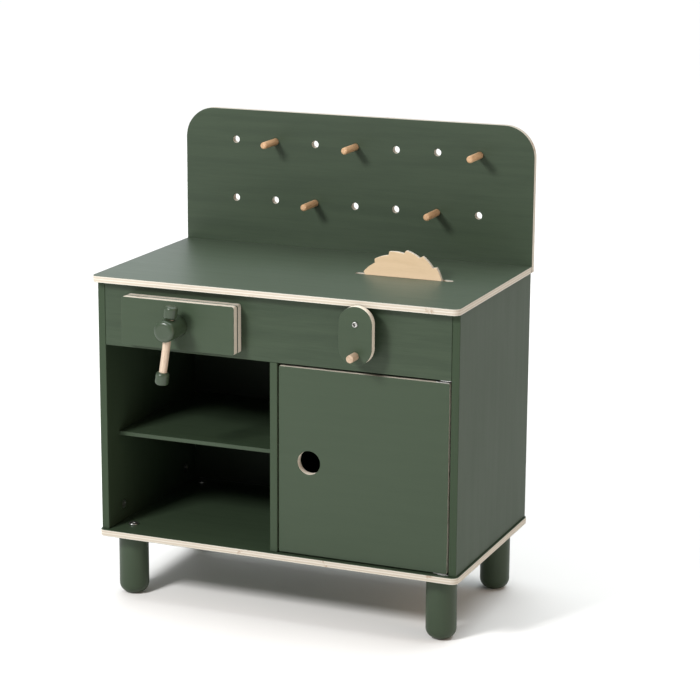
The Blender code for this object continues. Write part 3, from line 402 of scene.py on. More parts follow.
def birch_face(name):
    """Sanded birch veneer: a broad soft figure with fine short pores along it."""
    f = Finish(name, gloss=0.4)
    figure = f.noise(f.stretched(GRAIN_ALONG_X, ORIGIN, 7.0, 42.0), detail=4.0, distortion=0.8)
    fibres = f.noise(f.stretched(GRAIN_ALONG_X, ORIGIN, 60.0, 1300.0), roughness=0.6)
    colour = f.ramp(
        figure * 0.7 + fibres * 0.3,
        (0.30, (0.64, 0.47, 0.29)),
        (0.50, (0.72, 0.54, 0.35)),
        (0.72, (0.79, 0.62, 0.435)),
    )
    pores = f.between(fibres, 0.58, 0.72)
    colour = f.mix(pores * 0.30, colour, (0.34, 0.22, 0.13))
    roughness = 0.44 + figure * 0.10 + pores * 0.10
    return f.connect(colour, roughness, figure * 0.3 - pores * 0.7, depth=0.0002, strength=0.5)


def turned_beech(name, turn, centre, light, dark):
    """Steamed beech dowel: close even grain with the short dark flecks of its rays."""
    f = Finish(name, gloss=0.4)
    grain = f.noise(f.stretched(turn, centre, 22.0, 420.0), detail=4.0, roughness=0.6, distortion=0.4)
    bands = f.noise(f.stretched(turn, centre, 9.0, 150.0), detail=2.0)
    flecks = f.between(f.noise(f.stretched(turn, centre, 300.0, 1900.0), detail=1.0), 0.63, 0.70)
    colour = f.mix(f.between(grain * 0.6 + bands * 0.4, 0.36, 0.66), light, dark)
    colour = f.mix(flecks * 0.55, colour, toned(dark, 0.55))
    roughness = 0.40 + grain * 0.12 + flecks * 0.08
    return f.connect(colour, roughness, grain * 0.5 - flecks * 0.6, depth=0.00018, strength=0.45)


def plated_steel(name):
    """Bright zinc plate, slightly cloudy, with fine scratches."""
    f = Finish(name, roughness=0.28, metallic=1.0)
    clouds = f.noise(f.place, scale=300.0)
    scratches = f.noise(f.stretched(SCRATCH_TURN, ORIGIN, 120.0, 5200.0), detail=2.0)
    tint = f.mix(f.between(clouds, 0.35, 0.7), ZINC, toned(ZINC, 0.80))
    roughness = 0.22 + clouds * 0.16 + scratches * 0.10
    return f.connect(tint, roughness, scratches * 0.5 + clouds * 0.3, depth=0.00005, strength=0.4)


def moulded_nylon(name):
    """Pale grey moulded plastic with a fine sparked surface."""
    f = Finish(name, roughness=0.45)
    sparks = f.noise(f.place, scale=2400.0, detail=2.0)
    clouds = f.noise(f.place, scale=50.0, detail=2.0)
    colour = f.mix(clouds, (0.60, 0.60, 0.58), (0.50, 0.50, 0.485))
    return f.connect(colour, 0.40 + sparks * 0.15, sparks, depth=0.00006, strength=0.5)


paint_level = satin_paint("green_satin_on_level_grain", GRAIN_ALONG_X, 0.5)
# Painted light: the bench top uses the same green made 1.12 times lighter, standing in for the light
# and sheen the top catches.
paint_top_lightened_as_painted_light = satin_paint("green_satin_on_bench_top", GRAIN_ALONG_X, 0.4, (0.4, 0.1, 0.0), 0.75, 1.12)
# Painted shade: the back sheet uses the same green at 0.35 of its lightness, standing in for the
# shade inside the cupboard bay.
paint_back_darkened_as_painted_shade = satin_paint("dark_back_sheet", GRAIN_ALONG_X, 0.4, (0.1, 0.0, 0.4), 0.15, 0.35)
paint_board = satin_paint("green_satin_on_peg_board", GRAIN_ALONG_X, 1.0, (0.31, 0.0, 0.07))
paint_apron = satin_paint("green_satin_on_apron", GRAIN_ALONG_X, 1.3, (0.93, 0.0, 0.31))
paint_door = satin_paint("green_satin_on_door", GRAIN_ALONG_X, 0.3, (0.57, 0.0, 0.83))
paint_plates = satin_paint("green_satin_on_plates", GRAIN_ALONG_X, 0.35, (1.17, 0.2, 0.13))
paint_upright = satin_paint("green_satin_on_upright_grain", GRAIN_ALONG_Z, 0.3, gloss=0.18)
# Painted shade: the side panels use the same green made a little darker (0.94), for the shade on
# their faces.
paint_sides_darkened_as_painted_shade = satin_paint("green_satin_on_sides", GRAIN_ALONG_Z, 0.3, gloss=0.12, tone=0.94)
paint_legs = satin_paint("green_satin_on_legs", GRAIN_ALONG_Z, 0.3)
paint_turned = satin_paint(
    "green_satin_on_turned_beech", GRAIN_ALONG_Z, 0.25, gloss=0.42, tone=0.9, matt=-0.12
)
ply_edge = bare_ply_edge("bare_birch_ply_edge")
# Painted light: the same ply edge made 1.35 times lighter, standing in for the light on the edges of
# the door, vice plates and crank.
ply_edge_lightened_as_painted_light = bare_ply_edge("pale_birch_ply_edge", 1.35)
ply_face = birch_face("bare_birch_face")
zinc = plated_steel("bright_zinc")
nylon = moulded_nylon("pale_grey_nylon")

DOWEL_LIGHT = (0.54, 0.43, 0.33)
DOWEL_DARK = (0.42, 0.315, 0.23)
KNOB_LIGHT = (0.46, 0.34, 0.24)
KNOB_DARK = (0.35, 0.245, 0.165)
PEG_LIGHT = (0.60, 0.385, 0.22)
PEG_DARK = (0.44, 0.255, 0.13)


def dowel_beech(name, turn, centre):
    return turned_beech(name, turn, tuple(centre), DOWEL_LIGHT, DOWEL_DARK)


# ---------------------------------------------------------------------------------------------
# Shapes
# ---------------------------------------------------------------------------------------------


def rounded_rectangle(low, high, radius):
    """Points of a rectangle between two corners, anticlockwise. radius is one value, or four:
    low left, low right, high right, high left."""
    radii = radius if isinstance(radius, tuple) else (radius,) * 4
    corners = ((low[0], low[1]), (high[0], low[1]), (high[0], high[1]), (low[0], high[1]))
    inward = ((1, 1), (-1, 1), (-1, -1), (1, -1))
    points = []
    for quarter in range(4):
        corner, side, reach = corners[quarter], inward[quarter], radii[quarter]
        centre = Vector((corner[0] + side[0] * reach, corner[1] + side[1] * reach))
        for step in range(CORNER_STEPS + 1):
            angle = math.pi + (quarter + step / CORNER_STEPS) * math.pi / 2
            points.append(centre + reach * Vector((math.cos(angle), math.sin(angle))))
    return without_doubles(points)


def without_doubles(points):
    kept = []
    for point in points:
        if not kept or (point - kept[-1]).length > WELD:
            kept.append(point)
    if (kept[0] - kept[-1]).length <= WELD:
        kept.pop()
    return kept


def circle(centre, diameter, sides=FINE_SIDES):
    radius = diameter / 2
    angles = [2 * math.pi * index / sides for index in range(sides)]
    return [Vector(centre) + radius * Vector((math.cos(a), math.sin(a))) for a in angles]


def outline_mesh(outline, openings=()):
    """Loops of edges lying in XY. Each point keeps the direction that leads out of the wood."""
    mesh = bpy.data.meshes.new("outline")
    points, edges, outward = [], [], []
    for loop in [outline, *(list(reversed(opening)) for opening in openings)]:
        start, count = len(points), len(loop)
        for index, point in enumerate(loop):
            before, after = loop[index - 1], loop[(index + 1) % count]
            first = (point - before).normalized()
            second = (after - point).normalized()
            first, second = Vector((first.y, -first.x)), Vector((second.y, -second.x))
            corner = (first + second) / (1 + first.dot(second))
            points.append((point.x, point.y, 0.0))
            outward.append((corner.x, corner.y, 0.0))
            edges.append((start + index, start + (index + 1) % count))
    mesh.from_pydata(points, edges, [])
    directions = mesh.attributes.new("outward", "FLOAT_VECTOR", "POINT")
    directions.data.foreach_set("vector", [value for vector in outward for value in vector])
    return mesh


def profile_mesh(points):
    """A line of (radius, height) points that a turned piece takes its shape from."""
    mesh = bpy.data.meshes.new("profile")
    places = [(radius, 0.0, height) for radius, height in points]
    mesh.from_pydata(places, [(index, index + 1) for index in range(len(places) - 1)], [])
    return mesh


def rod(radius, low, high, rims, steps=RIM_STEPS):
    """The profile of a rod whose two rims are rounded, each by its own radius."""
    low_rim, high_rim = rims
    angles = [step / steps * math.pi / 2 for step in range(steps + 1)]
    points = [(0.0, low)]
    for angle in angles:
        reach = radius - low_rim + low_rim * math.sin(angle)
        points.append((reach, low + low_rim - low_rim * math.cos(angle)))
    for angle in angles:
        reach = radius - high_rim + high_rim * math.cos(angle)
        points.append((reach, high - high_rim + high_rim * math.sin(angle)))
    return points + [(0.0, high)]


def bolt(shank, chamfer, tip, head):
    """The profile of a bolt: a shank with a chamfered tip, under a head that is a rod's profile."""
    narrower, longer = chamfer
    seat = head[0][1]
    return [(0.0, tip), (shank - narrower, tip), (shank, tip + longer), (shank, seat), *head[1:]]


def wood_screw(length, head):
    """The profile of a countersunk wood screw: point, shank, cone and flat head."""
    points = [(0.0, -length), (0.0008, 0.002 - length), (BOARD_SCREW_SHANK, 0.006 - length)]
    points += [(BOARD_SCREW_SHANK, -0.0035), (head * 0.97, -0.0006), (head, -0.0003)]
    return points + [(head * 0.98, 0.0), (0.0, 0.0)]


def driven(key, head=0.0):
    """What cuts a driver's recess: the key's width, its depth and the height of the head."""
    return {"Recess Width": key[0], "Recess Depth": key[1], "Head": head}


# ---------------------------------------------------------------------------------------------
# Geometry trees
# ---------------------------------------------------------------------------------------------

SOCKETS = {
    "number": "NodeSocketFloat",
    "count": "NodeSocketInt",
    "vector": "NodeSocketVector",
    "material": "NodeSocketMaterial",
    "switch": "NodeSocketBool",
}
SLAB_INPUTS = {"Thickness": "number", "Ease": "number", "Face": "material", "Edge": "material"}
GRID_INPUTS = {"Columns": "count", "Rows": "count", "Column Pitch": "number", "Row Pitch": "number"}
KEY_INPUTS = {"Recess Width": "number", "Recess Depth": "number", "Head": "number"}


class ShapeGraph(Graph):
    """A Geometry Nodes tree with named inputs, which ends in one mesh."""

    def __init__(self, name, **inputs):
        super().__init__(bpy.data.node_groups.new(name, "GeometryNodeTree"))
        sockets = self.tree.interface
        sockets.new_socket("Geometry", in_out="INPUT", socket_type="NodeSocketGeometry")
        for label, kind in inputs.items():
            sockets.new_socket(label, in_out="INPUT", socket_type=SOCKETS[kind])
        sockets.new_socket("Geometry", in_out="OUTPUT", socket_type="NodeSocketGeometry")
        self.given = self.node("NodeGroupInput")

    def named(self, name, kind="FLOAT"):
        return self.node("GeometryNodeInputNamedAttribute", {"data_type": kind}, {"Name": name})[0]

    def store(self, geometry, name, value, kind="FLOAT", selection=True):
        settings = {"data_type": kind, "domain": "POINT"}
        inputs = {"Geometry": geometry, "Name": name, "Value": value, "Selection": selection}
        return self.node("GeometryNodeStoreNamedAttribute", settings, inputs)[0]

    def moved(self, geometry, offset, selection=True):
        inputs = {"Geometry": geometry, "Offset": offset, "Selection": selection}
        return self.node("GeometryNodeSetPosition", None, inputs)[0]

    def placed(self, geometry, position):
        inputs = {"Geometry": geometry, "Position": position}
        return self.node("GeometryNodeSetPosition", None, inputs)[0]

    def transformed(self, geometry, **parts):
        inputs = {"Geometry": geometry, **{key.title(): value for key, value in parts.items()}}
        return self.node("GeometryNodeTransform", None, inputs)[0]

    def joined(self, *parts):
        return self.node("GeometryNodeJoinGeometry", None, {0: list(reversed(parts))})[0]

    def realized(self, geometry):
        return self.node("GeometryNodeRealizeInstances", None, {"Geometry": geometry})[0]

    def welded(self, geometry):
        inputs = {"Geometry": geometry, "Distance": WELD}
        return self.node("GeometryNodeMergeByDistance", None, inputs)[0]

    def coloured(self, geometry, material, selection=True):
        inputs = {"Geometry": geometry, "Material": material, "Selection": selection}
        return self.node("GeometryNodeSetMaterial", None, inputs)[0]

    def position(self):
        return self.node("GeometryNodeInputPosition")[0]

    def finish(self, geometry):
        self.node("NodeGroupOutput", None, {"Geometry": geometry})
        return self.tree

    def given_all(self, *names):
        return [self.given[name] for name in names]

    def opening(self, sides, radius):
        """A ring of edges round a hole. Out of the wood is towards its own centre."""
        values = {"Vertices": sides, "Radius": radius}
        ring = self.node("GeometryNodeMeshCircle", {"fill_type": "NONE"}, values)[0]
        inward = self.vector("SCALE", self.vector("NORMALIZE", self.position()), -1.0)
        return self.store(ring, "outward", inward, "FLOAT_VECTOR")

    def grid_points(self):
        """Points in columns and rows, centred on the origin."""
        columns, rows = self.given_all("Columns", "Rows")
        values = {
            "Size X": (columns - 1.0) * self.given["Column Pitch"],
            "Size Y": (rows - 1.0) * self.given["Row Pitch"],
            "Vertices X": columns,
            "Vertices Y": rows,
        }
        return self.node("GeometryNodeMeshGrid", None, values)[0]

    def copied(self, points, piece, **more):
        """The piece at every point, as one real mesh."""
        inputs = {"Points": points, "Instance": piece, **more}
        return self.realized(self.node("GeometryNodeInstanceOnPoints", None, inputs)[0])

    def eased_slab(self, loops):
        """Turn flat loops into a board: rounded rims, walls between them and a face on each side.
        It stores how far through the board a point is, and where the rounding stands out."""
        thickness, ease, face, edge = self.given_all(*SLAB_INPUTS)
        outward = self.named("outward", "FLOAT_VECTOR")
        quarter = [step / EASE_STEPS * math.pi / 2 for step in range(EASE_STEPS + 1)]
        rings = [(1 - math.sin(a), 0, 1 - math.cos(a), math.sin(2 * a)) for a in quarter]
        rings += [(1 - math.cos(a), 1, math.sin(a) - 1, math.sin(2 * a)) for a in quarter]
        rim = self.moved(loops, self.vector("SCALE", outward, -1.0 * ease))
        walls = self.store(rim, "rim", 0.0)
        top = True
        for (was_in, was_high, was_lift, _), (inset, high, lift, shown) in zip(rings, rings[1:]):
            inputs = {"Mesh": walls, "Selection": top, "Offset Scale": 0.0}
            extruded = self.node("GeometryNodeExtrudeMesh", {"mode": "EDGES"}, inputs)
            top = extruded["Top"]
            out = self.vector("SCALE", outward, ease * (was_in - inset))
            up = thickness * (high - was_high) + ease * (lift - was_lift)
            step = self.vector("ADD", out, self.combine(z=up))
            walls = self.moved(extruded["Mesh"], step, top)
            walls = self.store(walls, "rim", shown, selection=top)
        walls = self.coloured(walls, edge)
        _, _, height = self.split(self.position())
        near_face = (height - thickness / 2.0).math("ABSOLUTE")
        rounded = near_face.math("GREATER_THAN", thickness / 2.0 - ease)
        walls = self.coloured(walls, face, rounded)
        flat = self.node("GeometryNodeMeshToCurve", None, {"Mesh": rim})[0]
        cap = self.node("GeometryNodeFillCurve", None, {"Curve": flat})[0]
        low = self.node("GeometryNodeFlipFaces", None, {"Mesh": cap})[0]
        high = self.moved(cap, self.combine(z=thickness))
        faces = self.coloured(self.joined(low, high), face)
        board = self.welded(self.joined(walls, faces))
        _, _, through = self.split(self.position())
        return self.store(board, "through", through / thickness)


def board_tree(perforated):
    """A sawn board from an outline. A perforated one also gets a grid of equal round holes."""
    inputs = dict(SLAB_INPUTS)
    if perforated:
        inputs.update({"Hole Diameter": "number", "Hole Sides": "count", **GRID_INPUTS})
        inputs["Pattern Centre"] = "vector"
    g = ShapeGraph("perforated_board" if perforated else "sawn_board", **inputs)
    loops = g.given["Geometry"]
    if perforated:
        hole = g.opening(g.given["Hole Sides"], g.given["Hole Diameter"] / 2.0)
        points = g.transformed(g.grid_points(), translation=g.given["Pattern Centre"])
        loops = g.joined(loops, g.copied(points, hole))
    return g.finish(g.realized(g.eased_slab(loops)))


def saw_disc_tree():
    """A toothed disc: each tooth rises along a bowed back and falls over a steep front."""
    inputs = {"Tip Radius": "number", "Root Radius": "number", "Teeth": "count", "Points": "count"}
    inputs.update({"Tip Angle": "number", "Steep Share": "number", "Back Bow": "number"})
    inputs.update({"Bore Radius": "number", **SLAB_INPUTS})
    g = ShapeGraph("saw_disc", **inputs)
    tip, root, teeth, points = g.given_all("Tip Radius", "Root Radius", "Teeth", "Points")
    tip_angle, steep, bow = g.given_all("Tip Angle", "Steep Share", "Back Bow")
    index = g.node("GeometryNodeInputIndex")[0]
    tooth = (index / points).math("FLOOR")
    share = (index % points) / (points - 1.0)
    pitch = 2 * math.pi / teeth
    valley = tip_angle + (tooth - 1.0 + steep) * pitch
    angle = valley + share * (1.0 - steep) * pitch
    radius = root + (tip - root) * share**bow
    count = {"Vertices": teeth * points, "Radius": 1.0}
    rim = g.node("GeometryNodeMeshCircle", {"fill_type": "NONE"}, count)[0]
    rim = g.placed(rim, g.combine(radius * angle.math("COSINE"), radius * angle.math("SINE")))
    rim = g.store(rim, "outward", g.vector("NORMALIZE", g.position()), "FLOAT_VECTOR")
    loops = g.joined(rim, g.opening(SMALL_SIDES, g.given["Bore Radius"]))
    return g.finish(g.realized(g.eased_slab(loops)))


def turned_tree(recess=None):
    """A profile turned about Z, then laid over and set out in a grid. recess cuts a driver's hex or
    cross into the head. Facing In turns the copies with a positive X half way round, so that both
    sides of the bench mirror each other."""
    inputs = {"Sides": "count", "Turn": "vector", "Centre": "vector", "Facing In": "switch"}
    inputs.update({"Material": "material", **GRID_INPUTS, **(KEY_INPUTS if recess else {})})
    g = ShapeGraph("turned_" + (recess or "plain"), **inputs)
    line, sides, turn, centre = g.given_all("Geometry", "Sides", "Turn", "Centre")
    size = g.node("GeometryNodeAttributeDomainSize", {"component": "MESH"}, {0: line})
    points = size["Point Count"]
    sheet = {"Vertices X": sides + 1.0, "Vertices Y": points}
    sheet = g.node("GeometryNodeMeshGrid", None, sheet)[0]
    index = g.node("GeometryNodeInputIndex")[0]
    along = (index / points).math("FLOOR")
    settings = {"data_type": "FLOAT_VECTOR", "domain": "POINT"}
    row = {"Geometry": line, "Value": g.position(), "Index": index % points}
    radius, _, height = g.split(g.node("GeometryNodeSampleIndex", settings, row)[0])
    angle = along / sides * (2 * math.pi)
    round_place = g.combine(radius * angle.math("COSINE"), radius * angle.math("SINE"), height)
    piece = g.welded(g.placed(sheet, round_place))
    if recess:
        piece = cut_recess(g, piece, recess)
    piece = g.transformed(piece, rotation=turn)
    grid = g.grid_points()
    x, _, _ = g.split(g.position())
    half_turn = x.math("GREATER_THAN", 0.0) * g.given["Facing In"] * math.pi
    facing = g.node("FunctionNodeEulerToRotation", None, {0: g.combine(z=half_turn)})[0]
    copies = g.transformed(g.copied(grid, piece, Rotation=facing), translation=centre)
    return g.finish(g.coloured(copies, g.given["Material"]))


def cut_recess(g, piece, recess):
    """Cut a driver's hex or cross into the head, from above its face down to the recess depth."""
    width, depth, head = g.given_all(*KEY_INPUTS)
    if recess == "hex":
        values = {"Vertices": 6, "Radius": width / math.sqrt(3), "Depth": depth * 2.0}
        cutters = [g.node("GeometryNodeMeshCylinder", {"fill_type": "NGON"}, values)["Mesh"]]
    else:
        narrow = width * CROSS_BAR
        sizes = [g.combine(x, y, depth * 2.0) for x, y in ((width, narrow), (narrow, width))]
        cutters = [g.node("GeometryNodeMeshCube", None, {"Size": size})["Mesh"] for size in sizes]
    cutters = [g.transformed(cutter, translation=g.combine(z=head)) for cutter in cutters]
    inputs = {"Mesh 1": piece, "Mesh 2": cutters}
    settings = {"operation": "DIFFERENCE", "solver": "EXACT"}
    return g.node("GeometryNodeMeshBoolean", settings, inputs)["Mesh"]


def thread_tree():
    """The ridge of a wooden screw's thread, wound round its core."""
    inputs = {"Radius": "number", "Depth": "number", "Pitch": "number", "Length": "number"}
    g = ShapeGraph("wooden_thread", **inputs, Material="material")
    radius, depth, pitch, length = g.given_all(*inputs)
    ridge_radius = depth * RIDGE_SHARE
    middle = radius - ridge_radius
    spiral = {"Resolution": THREAD_STEPS, "Rotations": length / pitch, "Height": length}
    spiral.update({"Start Radius": middle, "End Radius": middle})
    path = g.node("GeometryNodeCurveSpiral", None, spiral)[0]
    circle_values = {"Resolution": RIDGE_SIDES, "Radius": ridge_radius}
    ridge = g.node("GeometryNodeCurvePrimitiveCircle", {"mode": "RADIUS"}, circle_values)[0]
    inputs = {"Curve": path, "Profile Curve": ridge, "Fill Caps": True}
    thread = g.node("GeometryNodeCurveToMesh", None, inputs)[0]
    return g.finish(g.coloured(g.realized(thread), g.given["Material"]))


def grown(tree, base, values):
    """The mesh that a tree makes from a base mesh with these named values."""
    holder = bpy.data.objects.new("holder", base)
    bpy.context.scene.collection.objects.link(holder)
    modifier = holder.modifiers.new("shape", "NODES")
    modifier.node_group = tree
    sockets = [item for item in tree.interface.items_tree if item.in_out == "INPUT"]
    labels = {socket.name: socket.identifier for socket in sockets}
    for label, value in values.items():
        modifier[labels[label]] = value
    bpy.context.view_layer.update()
    graph = bpy.context.evaluated_depsgraph_get()
    mesh = bpy.data.meshes.new_from_object(holder.evaluated_get(graph), depsgraph=graph)
    bpy.data.objects.remove(holder)
    bpy.data.meshes.remove(base)
    if "outward" in mesh.attributes:
        mesh.attributes.remove(mesh.attributes["outward"])
    return mesh


def merged(*meshes):
    """Several meshes as one, each keeping its materials."""
    materials = []
    bm = bmesh.new()
    for mesh in meshes:
        slots = {}
        for index, material in enumerate(mesh.materials):
            if material not in materials:
                materials.append(material)
            slots[index] = materials.index(material)
        for polygon in mesh.polygons:
            polygon.material_index = slots.get(polygon.material_index, 0)
        bm.from_mesh(mesh)
        bpy.data.meshes.remove(mesh)
    whole = bpy.data.meshes.new("merged")
    bm.to_mesh(whole)
    bm.free()
    for material in materials:
        whole.materials.append(material)
    return whole


def face_outward(mesh):
    bm = bmesh.new()
    bm.from_mesh(mesh)
    bmesh.ops.recalc_face_normals(bm, faces=bm.faces)
    bm.to_mesh(mesh)
    bm.free()


def shade(mesh):
    """Smooth shading, but flat on faces that lie level with a neighbour, so that the wide side of
    a board doesn't lean with its rims."""
    mesh.set_sharp_from_angle(angle=SMOOTH_ANGLE)
    bm = bmesh.new()
    bm.from_mesh(mesh)
    for face in bm.faces:
        neighbours = [other for edge in face.edges for other in edge.link_faces if other != face]
        level = any(face.normal.dot(other.normal) > LEVEL for other in neighbours)
        corners = len(face.verts)
        face.smooth = corners == 4 or (corners == 3 and not level)
    bm.to_mesh(mesh)
    bm.free()


def add_piece(name, mesh, body, replaces):
    """Put a finished mesh in the scene as a piece that rides a body and stands for CAD nodes."""
    mesh.name = name
    face_outward(mesh)
    shade(mesh)
    piece = bpy.data.objects.new(name, mesh)
    bpy.context.scene.collection.objects.link(piece)
    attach(piece, body)
    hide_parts(*replaces)


sawn_board = board_tree(perforated=False)
perforated_board = board_tree(perforated=True)
saw_disc = saw_disc_tree()
plain_turned = turned_tree()
hex_turned = turned_tree("hex")
cross_turned = turned_tree("cross")
wooden_thread = thread_tree()

SINGLE = {"Columns": 1, "Rows": 1, "Column Pitch": 0.0, "Row Pitch": 0.0, "Facing In": False}


def board(node, plane, radius, face, edge, openings=(), ease=BOARD_EASE, outline=None):
    """The mesh of a board that fills a CAD node's box: an outline in its plane, eased all round."""
    low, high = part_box(node)
    flat = plane.inverted()
    a, b = flat @ low, flat @ high
    if outline is None:
        outline = rounded_rectangle((a.x, a.y), (b.x, b.y), radius)
    values = {"Thickness": b.z - a.z, "Ease": ease, "Face": face, "Edge": edge}
    mesh = grown(sawn_board, outline_mesh(outline, openings), values)
    mesh.transform(plane @ Matrix.Translation((0.0, 0.0, a.z)))
    return mesh


def turned(profile, place, turn, sides, material, tree=plain_turned, values=None):
    """The mesh of a turned piece, or of a grid of equal ones, with its axis laid along a turn."""
    given = {"Sides": sides, "Turn": turn, "Centre": tuple(place), "Material": material}
    return grown(tree, profile_mesh(profile), {**SINGLE, **given, **(values or {})})


def rod_along_y(node, rims, sides, material, steps=RIM_STEPS, turn=ALONG_Y):
    """The mesh of a rod that fills a CAD node's box from front to back, or the other way round."""
    low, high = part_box(node)
    middle = (low + high) / 2
    start = low.y if turn == ALONG_Y else high.y
    profile = rod((high.z - low.z) / 2, 0.0, high.y - low.y, rims, steps)
    return turned(profile, (middle.x, start, middle.z), turn, sides, material)


def centre_of(node):
    low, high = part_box(node)
    return (low + high) / 2


def size_of(node):
    low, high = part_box(node)
    return high - low


# ---------------------------------------------------------------------------------------------
# Cabinet
# ---------------------------------------------------------------------------------------------

CORNERS = [f"{end}_{side}" for end in ("front", "back") for side in ("left", "right")]


def make_boards():
    disc = centre_of("saw_blade")
    half = Vector((SLOT_LENGTH / 2, SLOT_WIDTH / 2))
    slot = rounded_rectangle(disc.xy - half, disc.xy + half, SLOT_WIDTH / 2)
    radii = (BOARD_CORNER, BOARD_CORNER, SQUARE_CORNER, SQUARE_CORNER)
    top = board("worktop", LYING, radii, paint_top_lightened_as_painted_light, ply_edge, [slot])
    add_piece("bench_top", top, "cabinet", ["worktop"])
    base = board("base_panel", LYING, BOARD_CORNER, paint_level, ply_edge)
    add_piece("bench_base", base, "cabinet", ["base_panel"])
    make_peg_board()
    for node, finish in (
        ("side_panel_left", paint_sides_darkened_as_painted_shade),
        ("side_panel_right", paint_sides_darkened_as_painted_shade),
        ("centre_divider", paint_upright),
        ("back_panel", paint_back_darkened_as_painted_shade),
        ("apron", paint_apron),
        ("shelf", paint_level),
        ("door_catch", nylon),
    ):
        dress(node, finish)


def dress(node, material):
    """Give a CAD node that keeps its shape a finish of its own."""
    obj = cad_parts[node]
    obj.data.materials.clear()
    obj.data.materials.append(material)


def make_peg_board():
    low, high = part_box("backboard")
    radii = (SQUARE_CORNER, SQUARE_CORNER, PEG_BOARD_CORNER, PEG_BOARD_CORNER)
    outline = rounded_rectangle(low.xz, high.xz, radii)
    middle_row = high.z - TOP_ROW_FROM_EDGE - HOLE_ROW_PITCH / 2
    values = {
        "Thickness": high.y - low.y,
        "Ease": BOARD_EASE,
        "Face": paint_board,
        "Edge": ply_edge,
        "Hole Diameter": HOLE_DIAMETER,
        "Hole Sides": HOLE_SIDES,
        "Columns": HOLE_COLUMNS,
        "Rows": HOLE_ROWS,
        "Column Pitch": HOLE_PITCH,
        "Row Pitch": HOLE_ROW_PITCH,
        "Pattern Centre": (0.0, middle_row, 0.0),
    }
    screws = [centre_of(f"backboard_screw_{side}") for side in ("left", "middle", "right")]
    openings = [circle(at.xz, SCREW_OPENING, SMALL_SIDES) for at in screws]
    mesh = grown(perforated_board, outline_mesh(outline, openings), values)
    mesh.transform(FACING_FRONT @ Matrix.Translation((0.0, 0.0, low.y)))
    add_piece("peg_board", mesh, "cabinet", ["backboard"])


def make_blocks():
    """The ply blocks behind the apron that the vice's screw and the saw's axle run in."""
    for node, name, runner, bore in (
        ("vice_nut_block", "screw_nut_block", "vice_spindle", SPINDLE_BORE),
        ("axle_bearing_block", "axle_block", "saw_axle", AXLE_BORE),
    ):
        opening = circle(centre_of(runner).xz, bore, SMALL_SIDES)
        mesh = board(node, FACING_FRONT, SQUARE_CORNER, ply_face, ply_edge, [opening])
        add_piece(name, mesh, "cabinet", [node])


def make_legs():
    """Four round legs, and the bolts that hold them from above, each set out in a grid."""
    legs = [f"leg_{corner}" for corner in CORNERS]
    first, last = centre_of(legs[0]), centre_of(legs[-1])
    centre = (first + last) / 2
    pitches = {"Column Pitch": last.x - first.x, "Row Pitch": last.y - first.y}
    spread = {"Columns": 2, "Rows": 2, **pitches}
    size = size_of(legs[0])
    profile = rod(size.y / 2, 0.0, size.z, LEG_RIMS, steps=12)
    mesh = turned(profile, (centre.x, centre.y, 0.0), UPRIGHT, FINE_SIDES, paint_legs, values=spread)
    add_piece("round_legs", mesh, "cabinet", legs)

    bolts = [f"leg_bolt_{corner}" for corner in CORNERS]
    low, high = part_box(bolts[0])
    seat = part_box("base_panel")[1].z
    head = rod((high.y - low.y) / 2, LEG_BOLT_GAP, high.z - seat, LEG_BOLT_RIMS)
    profile = bolt(LEG_BOLT_SHANK, LEG_BOLT_CHAMFER, low.z - seat, head)
    values = {**spread, **driven(LEG_BOLT_KEY, high.z - seat)}
    place = (centre.x, centre.y, seat)
    mesh = turned(profile, place, UPRIGHT, SMALL_SIDES, zinc, hex_turned, values)
    add_piece("leg_bolts", mesh, "cabinet", bolts)


def make_board_screws():
    names = [f"backboard_screw_{side}" for side in ("left", "middle", "right")]
    left, right = centre_of(names[0]), centre_of(names[-1])
    low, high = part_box(names[0])
    profile = wood_screw(high.y - low.y, (high.x - low.x) / 2)
    values = {"Columns": 3, "Column Pitch": (right.x - left.x) / 2, **driven(BOARD_SCREW_KEY)}
    place = ((left.x + right.x) / 2, high.y, left.z)
    mesh = turned(profile, place, ALONG_Y, SMALL_SIDES, zinc, cross_turned, values)
    add_piece("board_screws", mesh, "cabinet", names)


def make_wall_fittings(kind, name, rims, tree, key):
    """Four equal fittings let into two facing walls, so that both sides mirror each other."""
    names = [f"{kind}_{corner}" for corner in CORNERS]
    first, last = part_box(names[0]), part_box(names[-1])
    across = centre_of(names[-1]) - centre_of(names[0])
    size = size_of(names[0])
    profile = rod(size.z / 2, -size.x, 0.0, rims, steps=METAL_STEPS)
    values = {
        "Columns": 2,
        "Rows": 2,
        "Column Pitch": last[0].x - first[1].x,
        "Row Pitch": across.y,
        "Facing In": True,
        **key,
    }
    place = centre_of(names[0]) + across / 2
    mesh = turned(profile, place, ALONG_X, SMALL_SIDES, zinc, tree, values)
    add_piece(name, mesh, "cabinet", names)


def make_pegs():
    """Each peg is cut from its own stick, so its grain starts at a place of its own."""
    for number in range(1, 6):
        peg = f"peg_{number}"
        axis = centre_of(peg)
        heart = (axis.x + 0.0021, 0.013 * number, axis.z + 0.0017)
        beech = turned_beech(f"beech_{peg}", GRAIN_ALONG_Y, heart, PEG_LIGHT, PEG_DARK)
        rims = (PEG_BACK_RIM, size_of(peg).z / 2 * PEG_TIP_SHARE)
        mesh = rod_along_y(peg, rims, SMALL_SIDES, beech, steps=8, turn=TOWARDS_FRONT)
        add_piece(f"wooden_{peg}", mesh, peg, [peg])


# ---------------------------------------------------------------------------------------------
# Door
# ---------------------------------------------------------------------------------------------


